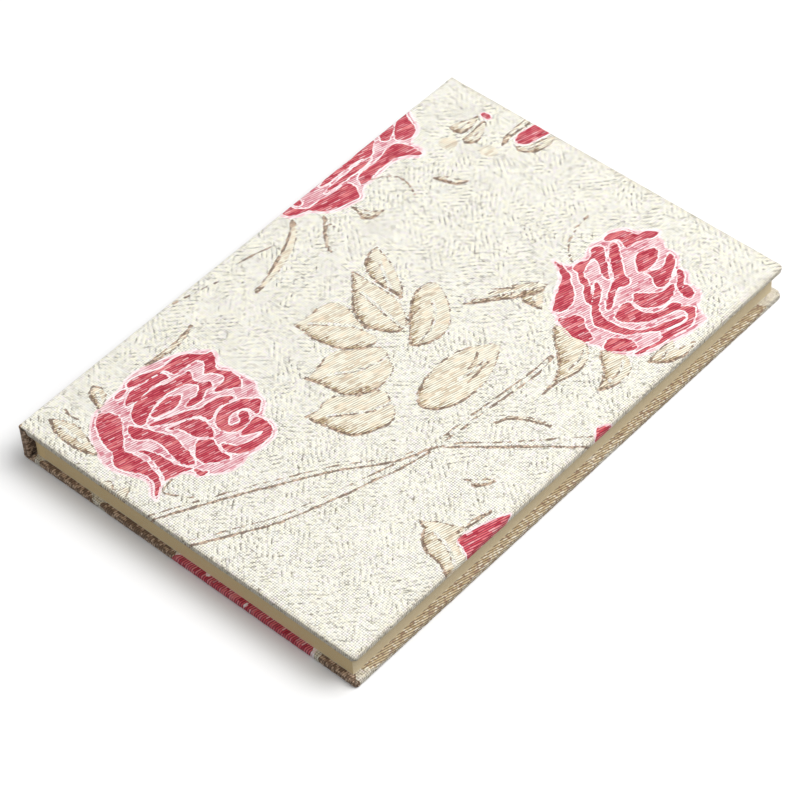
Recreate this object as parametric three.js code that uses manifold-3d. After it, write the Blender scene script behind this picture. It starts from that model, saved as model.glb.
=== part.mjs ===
// A hardcover journal, closed, lying on its back cover.
// Millimetres. Origin at the centre of the underside, +X from the spine to the fore edge,
// +Y from the tail to the head, +Z up out of the front cover.
//
// The case is three greyboards (front, back, spine) wrapped in one patterned cloth, which is turned
// in over the edges and parted here at the two joints. The text block is ten sewn sections of four
// folded sheets each, between two endpapers, with a gauze on its spine.
import * as THREE from 'three';
import { mergeVertices } from 'three/addons/utils/BufferGeometryUtils.js';
import Module from 'manifold-3d';

// Driving sizes of the text block
const LEAF_WIDTH = 140;
const LEAF_HEIGHT = 210;
const LEAF_THICKNESS = 0.12;
const SHEETS_PER_SECTION = 4;
const SECTIONS = 10;
const FLYLEAF_THICKNESS = 0.15;
const LEAF_SLIT = 0.03;          // air between two leaves
const FOLD_GLUE = 4;             // how far the spine glue holds the leaves together

// Driving sizes of the case
const BOARD_THICKNESS = 2;
const SPINE_BOARD_THICKNESS = 2;
const CLOTH_THICKNESS = 0.35;
const PASTEDOWN_THICKNESS = 0.15;
const FORE_SQUARE = 3;           // how far the boards stand out past the leaves
const END_SQUARE = 2;
const TURN_IN = 15;              // width of cloth folded over inside a board
const HOLLOW = 2.65;             // air between the spine board and the folds
const JOINT_GAP = 1.2;           // between the spine board and a cover board
const EDGE_ROUND = 0.6;          // the cloth's outer rounding over a board edge
const CORNER_ROUND = 1.3;        // the same, seen from above, at the fore corners
const JOINT_ROLL = 1;            // the cloth's outer rounding where it turns on to the spine
const JOINT_PARTING = 0.06;      // half the parting of the cloth at a joint
const MITRE_SLIT = 0.12;         // at the corners of the turn-ins
const CORNER_STEPS = 3;

// Driving sizes of the sewing and the gauze
const THREAD_DIAMETER = 0.3;
const THREAD_CLEARANCE = 0.1;
const THREAD_SIDES = 6;
const FOLD_WALL = 0.5;           // paper between the folds' outside and the sewing channel
const STITCHES = 4;              // long stitches inside each fold
const STITCH_LENGTH = 35;
const LINK_LENGTH = 10;          // from one long stitch to the next, outside the fold
const GAUZE_THICKNESS = 0.15;
const GAUZE_SETBACK = 12;        // from the ends of the folds
const GAUZE_WING = 25;           // how far the gauze runs under a pastedown
const GAUZE_CLEARANCE = 0.05;

// Sizes that follow
const LEAVES = 2 * SHEETS_PER_SECTION;
const SECTION_THICKNESS = LEAVES * LEAF_THICKNESS;
const COVER_THICKNESS = CLOTH_THICKNESS + BOARD_THICKNESS + CLOTH_THICKNESS;
const COVER_AND_PAPER = COVER_THICKNESS + PASTEDOWN_THICKNESS;
const TOTAL_THICKNESS = 2 * (COVER_AND_PAPER + FLYLEAF_THICKNESS) + SECTIONS * SECTION_THICKNESS;
const FOLD_TO_SPINE = CLOTH_THICKNESS + SPINE_BOARD_THICKNESS + HOLLOW;
const HALF_WIDTH = (FOLD_TO_SPINE + LEAF_WIDTH + FORE_SQUARE) / 2;
const HALF_HEIGHT = LEAF_HEIGHT / 2 + END_SQUARE;
const HALF_LEAF_HEIGHT = LEAF_HEIGHT / 2;
const FOLD_X = -HALF_WIDTH + FOLD_TO_SPINE;
const FORE_X = FOLD_X + LEAF_WIDTH;
const BOARD_SPINE_X = -HALF_WIDTH + CLOTH_THICKNESS + SPINE_BOARD_THICKNESS + JOINT_GAP;
const SPINE_BOARD_X = -HALF_WIDTH + CLOTH_THICKNESS;
const SPINE_INSIDE_X = SPINE_BOARD_X + SPINE_BOARD_THICKNESS;
const BOARD_TOP = CLOTH_THICKNESS + BOARD_THICKNESS;
const PAST_THE_EDGE = 5;         // how far cutting shapes reach past what they cut

const wasm = await Module();
wasm.setup();

// Turns a three.js geometry into a solid that can be cut and joined
function solid(geometry) {
  const bare = geometry.index ? geometry.toNonIndexed() : geometry.clone();
  bare.deleteAttribute('normal');
  bare.deleteAttribute('uv');
  const merged = mergeVertices(bare, 1e-4);
  const mesh = new wasm.Mesh({
    numProp: 3,
    vertProperties: merged.attributes.position.array,
    triVerts: new Uint32Array(merged.index.array),
  });
  return new wasm.Manifold(mesh);
}

function geometryOf(manifold) {
  const mesh = manifold.getMesh();
  const geometry = new THREE.BufferGeometry();
  geometry.setAttribute('position', new THREE.BufferAttribute(mesh.vertProperties, 3));
  geometry.setIndex(new THREE.BufferAttribute(mesh.triVerts, 1));
  geometry.computeVertexNormals();
  return geometry;
}

// A profile in X and Z carried along Y, from yLow to yHigh
function alongY(profile, yLow, yHigh) {
  const geometry = new THREE.ExtrudeGeometry(new THREE.Shape(profile), {
    depth: yHigh - yLow, bevelEnabled: false, steps: 1,
  });
  const place = new THREE.Matrix4().set(1, 0, 0, 0, 0, 0, -1, yHigh, 0, 1, 0, 0, 0, 0, 0, 1);
  return geometry.applyMatrix4(place);
}

// A plan in X and Y carried up from zLow to zHigh
function alongZ(plan, zLow, zHigh) {
  const geometry = new THREE.ExtrudeGeometry(plan, {
    depth: zHigh - zLow, bevelEnabled: false, steps: 1, curveSegments: CORNER_STEPS,
  });
  return geometry.translate(0, 0, zLow);
}

function block(xLow, xHigh, yLow, yHigh, zLow, zHigh) {
  const profile = [
    new THREE.Vector2(xLow, zLow),
    new THREE.Vector2(xHigh, zLow),
    new THREE.Vector2(xHigh, zHigh),
    new THREE.Vector2(xLow, zHigh),
  ];
  return alongY(profile, yLow, yHigh);
}

// The points of an arc in X and Z, angles in degrees
function arc(x, z, radius, from, to, steps) {
  const points = [];
  for (let i = 0; i <= steps; i += 1) {
    const angle = THREE.MathUtils.degToRad(from + (to - from) * i / steps);
    points.push(new THREE.Vector2(x + radius * Math.cos(angle), z + radius * Math.sin(angle)));
  }
  return points;
}

// The cover's outline seen from above: square past the spine, rounded at the fore corners
function coverPlan(inset) {
  const left = -HALF_WIDTH - PAST_THE_EDGE;
  const right = HALF_WIDTH - inset;
  const end = HALF_HEIGHT - inset;
  const round = CORNER_ROUND - inset;
  const plan = new THREE.Shape();
  plan.moveTo(left, -end);
  plan.lineTo(right - round, -end);
  plan.absarc(right - round, -end + round, round, -Math.PI / 2, 0, false);
  plan.lineTo(right, end - round);
  plan.absarc(right - round, end - round, round, 0, Math.PI / 2, false);
  plan.lineTo(left, end);
  plan.closePath();
  return plan;
}

// A slab of the cover's outline with its edges rounded, between two heights
function roundedSlab(inset, zLow, zHigh) {
  const round = EDGE_ROUND - inset;
  const geometry = new THREE.ExtrudeGeometry(coverPlan(inset + round), {
    depth: zHigh - zLow - 2 * round,
    bevelEnabled: true,
    bevelThickness: round,
    bevelSize: round,
    bevelSegments: CORNER_STEPS,
    curveSegments: CORNER_STEPS,
    steps: 1,
  });
  return geometry.translate(0, 0, zLow + round);
}

// The board of a cover as it lies at the back: eased edges, square at the joint
function coverBoard() {
  const slab = solid(roundedSlab(CLOTH_THICKNESS, CLOTH_THICKNESS, BOARD_TOP));
  const past = HALF_WIDTH + PAST_THE_EDGE;
  const keep = block(BOARD_SPINE_X, past, -past * 2, past * 2, 0, COVER_THICKNESS);
  return slab.intersect(solid(keep));
}

// The cloth's quarter turn at a joint is shared between the cover and the spine. This is the cover's
// half or the spine's half of the lower one, as a profile that starts with a short straight.
function jointRoll(fromAngle, toAngle, straight) {
  const x = -HALF_WIDTH + JOINT_ROLL;
  const z = JOINT_ROLL;
  const partingAngle = THREE.MathUtils.radToDeg(JOINT_PARTING / JOINT_ROLL);
  const end = toAngle + Math.sign(fromAngle - toAngle) * partingAngle;
  const outer = arc(x, z, JOINT_ROLL, fromAngle, end, CORNER_STEPS);
  const inner = arc(x, z, JOINT_ROLL - CLOTH_THICKNESS, end, fromAngle, CORNER_STEPS);
  const first = outer[0].clone().add(straight);
  const last = inner[inner.length - 1].clone().add(straight);
  return [first, ...outer, ...inner, last];
}

// The cloth of a cover as it lies at the back: outer face, walls, turn-ins and its half of the roll
function coverCloth() {
  const past = HALF_HEIGHT + PAST_THE_EDGE;
  const rollX = -HALF_WIDTH + JOINT_ROLL;
  const farX = -HALF_WIDTH - 2 * PAST_THE_EDGE;
  const outside = solid(roundedSlab(0, 0, COVER_THICKNESS));
  const inside = solid(roundedSlab(CLOTH_THICKNESS, CLOTH_THICKNESS, BOARD_TOP));
  const bareX = HALF_WIDTH - TURN_IN;
  const bareY = HALF_HEIGHT - TURN_IN;
  const bare = solid(block(farX, bareX, -bareY, bareY, BOARD_THICKNESS, COVER_THICKNESS + 1));
  const overJoint = solid(block(farX, BOARD_SPINE_X, -past, past, CLOTH_THICKNESS, COVER_THICKNESS + 1));
  const pastRoll = solid(block(farX, rollX, -past, past, -1, COVER_THICKNESS + 1));
  let cloth = outside.subtract(inside).subtract(bare).subtract(overJoint).subtract(pastRoll);
  for (const side of [-1, 1]) {
    // the turn-in carried on over the joint, and the mitre at the fore corner
    const ends = [side * bareY, side * (HALF_HEIGHT - JOINT_ROLL)].sort((a, b) => a - b);
    const fold = block(rollX, BOARD_SPINE_X, ends[0], ends[1], CLOTH_THICKNESS / 2, 2 * CLOTH_THICKNESS);
    cloth = cloth.add(solid(fold));
    const length = TURN_IN * Math.SQRT2 - CORNER_ROUND;
    const slit = new THREE.BoxGeometry(length, MITRE_SLIT, CLOTH_THICKNESS);
    slit.rotateZ(side * Math.PI / 4);
    const reach = length / 2 * Math.SQRT1_2;
    slit.translate(bareX + reach, side * (bareY + reach), BOARD_TOP + CLOTH_THICKNESS / 2);
    cloth = cloth.subtract(solid(slit));
  }
  const roll = jointRoll(270, 225, new THREE.Vector2(CLOTH_THICKNESS, 0));
  const end = HALF_HEIGHT - JOINT_ROLL;
  return cloth.add(solid(alongY(roll, -end, end)));
}

// The paper pasted inside a cover: it steps up over the turn-ins and over the gauze
function pastedown() {
  const end = HALF_LEAF_HEIGHT;
  const bareX = HALF_WIDTH - TURN_IN;
  const bareY = HALF_HEIGHT - TURN_IN;
  const wingX = FOLD_X + GAUZE_WING;
  const wingTop = BOARD_TOP + GAUZE_THICKNESS;
  const paper = PASTEDOWN_THICKNESS;
  const past = PAST_THE_EDGE;
  const whole = solid(block(FOLD_X, FORE_X, -end, end, BOARD_TOP, COVER_AND_PAPER));
  const field = solid(block(FOLD_X - past, bareX - paper, paper - bareY, bareY - paper, BOARD_TOP + paper, COVER_AND_PAPER + 1));
  const overWing = solid(block(FOLD_X - past, wingX + paper, -bareY, bareY, BOARD_TOP, wingTop + paper));
  const gauzeEnd = HALF_LEAF_HEIGHT - GAUZE_SETBACK;
  const wingEnd = Math.min(gauzeEnd, bareY);
  const wing = solid(block(FOLD_X - past, wingX, -wingEnd, wingEnd, BOARD_TOP - 1, wingTop));
  let sheet = whole.subtract(field.subtract(overWing)).subtract(wing);
  for (const side of [-1, 1]) {
    const ends = [side * bareY, side * (end + past)].sort((a, b) => a - b);
    sheet = sheet.subtract(solid(block(FOLD_X - past, FORE_X + past, ends[0], ends[1], BOARD_TOP - 1, COVER_THICKNESS)));
  }
  return sheet.subtract(solid(block(bareX, FORE_X + past, -end - past, end + past, BOARD_TOP - 1, COVER_THICKNESS)));
}

// Turns a piece made for the back cover over, so that it fits the front cover
function turnedOver(geometry) {
  const mirrored = geometry.clone().applyMatrix4(
    new THREE.Matrix4().set(1, 0, 0, 0, 0, 1, 0, 0, 0, 0, -1, TOTAL_THICKNESS, 0, 0, 0, 1),
  );
  const index = mirrored.index.array;
  for (let i = 0; i < index.length; i += 3) {
    [index[i + 1], index[i + 2]] = [index[i + 2], index[i + 1]];
  }
  mirrored.computeVertexNormals();
  return mirrored;
}

// The spine's cloth: its outer face, its halves of the two rolls, and the turn-ins at head and tail
function spineCloth() {
  const low = JOINT_ROLL;
  const high = TOTAL_THICKNESS - JOINT_ROLL;
  const insideX = SPINE_INSIDE_X + CLOTH_THICKNESS;
  const wallY = HALF_HEIGHT - CLOTH_THICKNESS;
  const bareY = HALF_HEIGHT - TURN_IN;
  const round = 2 * CLOTH_THICKNESS;
  const plan = new THREE.Shape();
  plan.moveTo(-HALF_WIDTH, -HALF_HEIGHT + round);
  plan.absarc(-HALF_WIDTH + round, -HALF_HEIGHT + round, round, Math.PI, 1.5 * Math.PI, false);
  plan.lineTo(insideX - round, -HALF_HEIGHT);
  plan.absarc(insideX - round, -HALF_HEIGHT + round, round, 1.5 * Math.PI, 2 * Math.PI, false);
  plan.lineTo(insideX, -bareY);
  plan.lineTo(SPINE_INSIDE_X, -bareY);
  plan.lineTo(SPINE_INSIDE_X, -wallY);
  plan.lineTo(SPINE_BOARD_X, -wallY);
  plan.lineTo(SPINE_BOARD_X, wallY);
  plan.lineTo(SPINE_INSIDE_X, wallY);
  plan.lineTo(SPINE_INSIDE_X, bareY);
  plan.lineTo(insideX, bareY);
  plan.lineTo(insideX, HALF_HEIGHT - round);
  plan.absarc(insideX - round, HALF_HEIGHT - round, round, 0, 0.5 * Math.PI, false);
  plan.lineTo(-HALF_WIDTH + round, HALF_HEIGHT);
  plan.absarc(-HALF_WIDTH + round, HALF_HEIGHT - round, round, 0.5 * Math.PI, Math.PI, false);
  plan.closePath();
  let cloth = solid(alongZ(plan, low, high));
  const roll = jointRoll(180, 225, new THREE.Vector2(0, CLOTH_THICKNESS));
  const end = HALF_HEIGHT - JOINT_ROLL;
  const lower = alongY(roll, -end, end);
  const topRoll = roll.map((p) => new THREE.Vector2(p.x, TOTAL_THICKNESS - p.y)).reverse();
  cloth = cloth.add(solid(lower));
  return cloth.add(solid(alongY(topRoll, -end, end)));
}

function spineBoard() {
  const end = HALF_HEIGHT - CLOTH_THICKNESS;
  return block(SPINE_BOARD_X, SPINE_INSIDE_X, -end, end, JOINT_ROLL, TOTAL_THICKNESS - JOINT_ROLL);
}

// One section: four sheets folded together. The fold is round, a channel in it holds the thread,
// and the leaves part from the fore edge back to where the glue holds them.
function sectionProfile(bottom, top) {
  const middle = (bottom + top) / 2;
  const round = (top - bottom) / 2;
  const channel = THREAD_DIAMETER / 2 + THREAD_CLEARANCE;
  const channelStart = FOLD_X + FOLD_WALL;
  const channelEnd = channelStart + 2 * channel;
  const half = LEAF_SLIT / 2;
  const points = arc(FOLD_X + round, middle, round, 270, 90, 2 * CORNER_STEPS);
  points[0].y = bottom;
  points[points.length - 1].y = top;
  points.push(new THREE.Vector2(FORE_X, top));
  for (let leaf = 1; leaf < LEAVES; leaf += 1) {
    const z = top - leaf * LEAF_THICKNESS;
    points.push(new THREE.Vector2(FORE_X, z + half));
    if (leaf === SHEETS_PER_SECTION) {
      points.push(new THREE.Vector2(channelEnd, z + half));
      points.push(new THREE.Vector2(channelEnd, middle + channel));
      points.push(new THREE.Vector2(channelStart, middle + channel));
      points.push(new THREE.Vector2(channelStart, middle - channel));
      points.push(new THREE.Vector2(channelEnd, middle - channel));
      points.push(new THREE.Vector2(channelEnd, z - half));
    } else {
      points.push(new THREE.Vector2(FOLD_X + FOLD_GLUE, z + half));
      points.push(new THREE.Vector2(FOLD_X + FOLD_GLUE, z - half));
    }
    points.push(new THREE.Vector2(FORE_X, z - half));
  }
  points.push(new THREE.Vector2(FORE_X, bottom));
  return points.reverse();
}

// The places along the fold where the thread goes through it
const stations = [];
const sewnLength = STITCHES * STITCH_LENGTH + (STITCHES - 1) * LINK_LENGTH;
for (let stitch = 0; stitch < STITCHES; stitch += 1) {
  const start = -sewnLength / 2 + stitch * (STITCH_LENGTH + LINK_LENGTH);
  stations.push(start, start + STITCH_LENGTH);
}

function section(bottom, top) {
  const middle = (bottom + top) / 2;
  const half = THREAD_DIAMETER / 2 + THREAD_CLEARANCE;
  let paper = solid(alongY(sectionProfile(bottom, top), -HALF_LEAF_HEIGHT, HALF_LEAF_HEIGHT));
  for (const y of stations) {
    const hole = block(FOLD_X - 1, FOLD_X + FOLD_WALL + half, y - half, y + half, middle - half, middle + half);
    paper = paper.subtract(solid(hole));
  }
  return paper;
}

// A thread of even thickness laid flat along a path of right-angled turns, mitred at each turn
function flatThread(path, z) {
  const radius = THREAD_DIAMETER / 2;
  const corners = [];
  path.forEach((point, i) => {
    const before = path[Math.max(i - 1, 0)];
    const after = path[Math.min(i + 1, path.length - 1)];
    const came = (i > 0 ? point.clone().sub(before) : after.clone().sub(point)).normalize();
    const goes = (i + 1 < path.length ? after.clone().sub(point) : point.clone().sub(before)).normalize();
    const side = new THREE.Vector2(-came.y - goes.y, came.x + goes.x).divideScalar(1 + came.dot(goes));
    for (let s = 0; s < THREAD_SIDES; s += 1) {
      const angle = 2 * Math.PI * (s + 0.5) / THREAD_SIDES;
      const out = radius * Math.cos(angle);
      corners.push(point.x + side.x * out, point.y + side.y * out, z + radius * Math.sin(angle));
    }
  });
  const faces = [];
  const last = (path.length - 1) * THREAD_SIDES;
  for (let ring = 0; ring < last; ring += THREAD_SIDES) {
    for (let s = 0; s < THREAD_SIDES; s += 1) {
      const next = (s + 1) % THREAD_SIDES;
      faces.push(ring + s, ring + next, ring + THREAD_SIDES + next);
      faces.push(ring + s, ring + THREAD_SIDES + next, ring + THREAD_SIDES + s);
    }
  }
  for (let s = 1; s + 1 < THREAD_SIDES; s += 1) {
    faces.push(0, s + 1, s);
    faces.push(last, last + s, last + s + 1);
  }
  const geometry = new THREE.BufferGeometry();
  geometry.setAttribute('position', new THREE.Float32BufferAttribute(corners, 3));
  geometry.setIndex(faces);
  geometry.computeVertexNormals();
  return geometry;
}

// The thread of one section: long stitches in the fold, short links outside it
function sewingThread(bottom, top) {
  const insideX = FOLD_X + FOLD_WALL + THREAD_DIAMETER / 2 + THREAD_CLEARANCE;
  const outsideX = FOLD_X - THREAD_DIAMETER / 2 - GAUZE_CLEARANCE;
  const path = [];
  stations.forEach((y, i) => {
    const comesOut = i % 2 === 1;
    path.push(new THREE.Vector2(comesOut ? insideX : outsideX, y));
    path.push(new THREE.Vector2(comesOut ? outsideX : insideX, y));
  });
  return flatThread(path, (bottom + top) / 2);
}

// The gauze glued over the lower folds, with its wing under the back pastedown
function backGauze(foldTop) {
  const end = HALF_LEAF_HEIGHT - GAUZE_SETBACK - END_SQUARE;
  const nearX = FOLD_X - THREAD_DIAMETER - 2 * GAUZE_CLEARANCE;
  const farX = nearX - GAUZE_THICKNESS;
  const wingTop = BOARD_TOP + GAUZE_THICKNESS;
  const profile = [
    new THREE.Vector2(farX, BOARD_TOP),
    new THREE.Vector2(FOLD_X + GAUZE_WING, BOARD_TOP),
    new THREE.Vector2(FOLD_X + GAUZE_WING, wingTop),
    new THREE.Vector2(nearX, wingTop),
    new THREE.Vector2(nearX, foldTop),
    new THREE.Vector2(farX, foldTop),
  ];
  return alongY(profile, -end, end);
}

function frontGauzeWing() {
  const end = HALF_LEAF_HEIGHT - GAUZE_SETBACK - END_SQUARE;
  return block(FOLD_X, FOLD_X + GAUZE_WING, -end, end, BOARD_TOP, BOARD_TOP + GAUZE_THICKNESS);
}

// Finishes
const clothFinish = { color: 0xe9e2cf, roughness: 0.9, metalness: 0 };
const boardFinish = { color: 0x7d7468, roughness: 0.95, metalness: 0 };
const endpaperFinish = { color: 0xd8d0b8, roughness: 0.85, metalness: 0 };
const leafFinish = { color: 0xb5ab8c, roughness: 0.85, metalness: 0 };
const threadFinish = { color: 0xe6e0d0, roughness: 0.8, metalness: 0 };
const gauzeFinish = { color: 0xcfc8b6, roughness: 0.95, metalness: 0 };

const journal = new THREE.Group();

function place(name, shape, finish) {
  const geometry = shape instanceof THREE.BufferGeometry ? shape : geometryOf(shape);
  const mesh = new THREE.Mesh(geometry, new THREE.MeshStandardMaterial(finish));
  mesh.name = name;
  journal.add(mesh);
}

// The case
const board = geometryOf(coverBoard());
const cloth = geometryOf(coverCloth());
const paste = geometryOf(pastedown());
place('back_board', board, boardFinish);
place('back_cover_cloth', cloth, clothFinish);
place('back_pastedown', paste, endpaperFinish);
place('front_board', turnedOver(board), boardFinish);
place('front_cover_cloth', turnedOver(cloth), clothFinish);
place('front_pastedown', turnedOver(paste), endpaperFinish);
place('spine_board', spineBoard(), boardFinish);
place('spine_cloth', spineCloth(), clothFinish);

// The text block, from the back cover up
const end = HALF_LEAF_HEIGHT;
const firstFold = COVER_AND_PAPER + FLYLEAF_THICKNESS;
const levels = [];
for (let i = 0; i <= SECTIONS; i += 1) {
  levels.push(firstFold + i * SECTION_THICKNESS);
}
place('back_flyleaf', block(FOLD_X, FORE_X, -end, end, COVER_AND_PAPER, firstFold), endpaperFinish);
for (let i = 0; i < SECTIONS; i += 1) {
  const number = String(SECTIONS - i).padStart(2, '0');
  place(`section_${number}`, section(levels[i], levels[i + 1]), leafFinish);
  place(`sewing_thread_${number}`, sewingThread(levels[i], levels[i + 1]), threadFinish);
}
const lastFold = levels[SECTIONS];
const frontPaper = TOTAL_THICKNESS - COVER_AND_PAPER;
place('front_flyleaf', block(FOLD_X, FORE_X, -end, end, lastFold, frontPaper), endpaperFinish);
place('back_gauze', backGauze(levels[SECTIONS / 2]), gauzeFinish);
const wing = solid(frontGauzeWing());
place('front_gauze', turnedOver(geometryOf(wing)), gauzeFinish);

export default journal;
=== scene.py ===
import math

import bmesh
import bpy
import numpy as np
from mathutils import Matrix, Vector, noise


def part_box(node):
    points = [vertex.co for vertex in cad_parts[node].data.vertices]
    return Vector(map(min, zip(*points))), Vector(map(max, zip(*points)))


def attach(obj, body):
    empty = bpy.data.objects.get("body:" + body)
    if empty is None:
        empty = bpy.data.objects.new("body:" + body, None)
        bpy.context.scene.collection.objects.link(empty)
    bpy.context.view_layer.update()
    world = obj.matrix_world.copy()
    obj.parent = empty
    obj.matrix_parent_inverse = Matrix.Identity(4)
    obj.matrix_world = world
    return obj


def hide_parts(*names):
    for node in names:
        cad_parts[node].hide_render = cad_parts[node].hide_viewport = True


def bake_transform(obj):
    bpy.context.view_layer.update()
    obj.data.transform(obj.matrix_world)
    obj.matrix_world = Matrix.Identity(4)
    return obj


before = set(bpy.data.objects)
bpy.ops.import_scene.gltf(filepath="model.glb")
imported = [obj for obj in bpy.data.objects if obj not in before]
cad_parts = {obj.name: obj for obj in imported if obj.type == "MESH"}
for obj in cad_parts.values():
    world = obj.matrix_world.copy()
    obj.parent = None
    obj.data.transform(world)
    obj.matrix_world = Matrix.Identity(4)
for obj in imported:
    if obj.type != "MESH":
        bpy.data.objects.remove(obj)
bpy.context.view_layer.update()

# The photograph's view: from over the corner where the fore edge and the tail meet, about
# 48 degrees above the table, through a long lens. The camera is tipped slightly to one side.
MM = 0.001
VIEW_AZIMUTH = math.radians(44.68)
VIEW_ELEVATION = math.radians(48.34)
VIEW_ROLL = math.radians(-3.87)
VIEW_DISTANCE = 1062.1 * MM
AIM_RIGHT = -3.38 * MM
AIM_UP = -7.95 * MM
LENS = 143.27
FILM_WIDTH = 36
NEAREST_SEEN = 0.05
FARTHEST_SEEN = 20

scene = bpy.context.scene
scene.view_settings.view_transform = "Standard"
forward = Vector((-math.sin(VIEW_AZIMUTH) * math.cos(VIEW_ELEVATION),
                  math.cos(VIEW_AZIMUTH) * math.cos(VIEW_ELEVATION), -math.sin(VIEW_ELEVATION)))
level = Vector((math.cos(VIEW_AZIMUTH), math.sin(VIEW_AZIMUTH), 0))
upward = level.cross(forward)
camera_right = level * math.cos(VIEW_ROLL) + upward * math.sin(VIEW_ROLL)
camera_up = upward * math.cos(VIEW_ROLL) - level * math.sin(VIEW_ROLL)
camera = bpy.data.objects.new("camera", bpy.data.cameras.new("camera"))
camera.data.sensor_width = FILM_WIDTH
camera.data.lens = LENS
camera.data.clip_start = NEAREST_SEEN
camera.data.clip_end = FARTHEST_SEEN
turned = Matrix((camera_right, camera_up, -forward)).transposed().to_4x4()
aim = level * AIM_RIGHT + upward * AIM_UP
camera.matrix_world = Matrix.Translation(aim - forward * VIEW_DISTANCE) @ turned
scene.collection.objects.link(camera)
scene.camera = camera

# Soft studio light: a broad lamp over the fore edge and head, a weaker one from the tail side,
# and a pale room. The tail of the journal lies in shade, as in the photograph.
# Each lamp has its place in metres, its side and its power.
LAMPS = {
    "key_lamp": ((0.6, 0.62, 1.35), 1.3, 26.4),
    "fill_lamp": ((-0.2, -1.3, 0.9), 1.4, 2.2),
}
ROOM_LIGHT = 0.4
WHITE = (1, 1, 1, 1)
FLOOR_THROWN_BACK = (0.24, 0.24, 0.24, 1)
FLOOR_SIZE = 4
FLOOR_DROP = 0.05 * MM

for lamp_name, (place, side, power) in LAMPS.items():
    lamp = bpy.data.objects.new(lamp_name, bpy.data.lights.new(lamp_name, "AREA"))
    lamp.data.size = side
    lamp.data.energy = power
    lamp.location = place
    lamp.rotation_mode = "QUATERNION"
    lamp.rotation_quaternion = (-Vector(place)).to_track_quat("-Z", "Y")
    scene.collection.objects.link(lamp)


def add_node(tree, kind, inputs=None, **settings):
    """A new shader node with its settings made and its inputs joined or filled in."""
    made = tree.nodes.new(kind)
    for key, value in settings.items():
        setattr(made, key, value)
    for key, value in (inputs or {}).items():
        if isinstance(value, bpy.types.NodeSocket):
            tree.links.new(value, made.inputs[key])
        else:
            made.inputs[key].default_value = value
    return made


def new_finish(name, roughness, specular):
    """A material with its shader, ready for nodes. Returns the material, its tree and its shader."""
    finish = bpy.data.materials.new(name)
    finish.use_nodes = True
    bsdf = finish.node_tree.nodes["Principled BSDF"]
    bsdf.inputs["Roughness"].default_value = roughness
    bsdf.inputs["Specular IOR Level"].default_value = specular
    return finish, finish.node_tree, bsdf


def new_piece(name, bm):
    """Makes a bmesh into an object of the scene."""
    mesh = bpy.data.meshes.new(name)
    bm.to_mesh(mesh)
    bm.free()
    piece = bpy.data.objects.new(name, mesh)
    scene.collection.objects.link(piece)
    return piece


room = bpy.data.worlds.new("pale_room")
room.use_nodes = True
tree = room.node_tree
tree.nodes.clear()
seen = add_node(tree, "ShaderNodeLightPath").outputs["Is Camera Ray"]
room_glow = add_node(tree, "ShaderNodeBackground", {"Color": WHITE, "Strength": ROOM_LIGHT})
white_back = add_node(tree, "ShaderNodeBackground", {"Color": WHITE, "Strength": 1})
backdrop = add_node(tree, "ShaderNodeMixShader", {0: seen, 1: room_glow.outputs[0], 2: white_back.outputs[0]})
add_node(tree, "ShaderNodeOutputWorld", {"Surface": backdrop.outputs[0]})
scene.world = room

floor_grid = bmesh.new()
bmesh.ops.create_grid(floor_grid, x_segments=1, y_segments=1, size=FLOOR_SIZE)
bmesh.ops.translate(floor_grid, verts=floor_grid.verts, vec=(0, 0, -FLOOR_DROP))
floor = new_piece("floor", floor_grid)
pale_floor, tree, bsdf = new_finish("pale_floor", roughness=1, specular=0)
looks = add_node(tree, "ShaderNodeLightPath").outputs
in_view = add_node(tree, "ShaderNodeMath", {0: looks["Is Camera Ray"], 1: looks["Is Glossy Ray"]},
                   operation="MAXIMUM")
floor_tone = add_node(tree, "ShaderNodeMix", {0: in_view.outputs[0], 6: FLOOR_THROWN_BACK, 7: WHITE},
                      data_type="RGBA")
tree.links.new(floor_tone.outputs[2], bsdf.inputs["Base Color"])
floor.data.materials.append(pale_floor)

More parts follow.
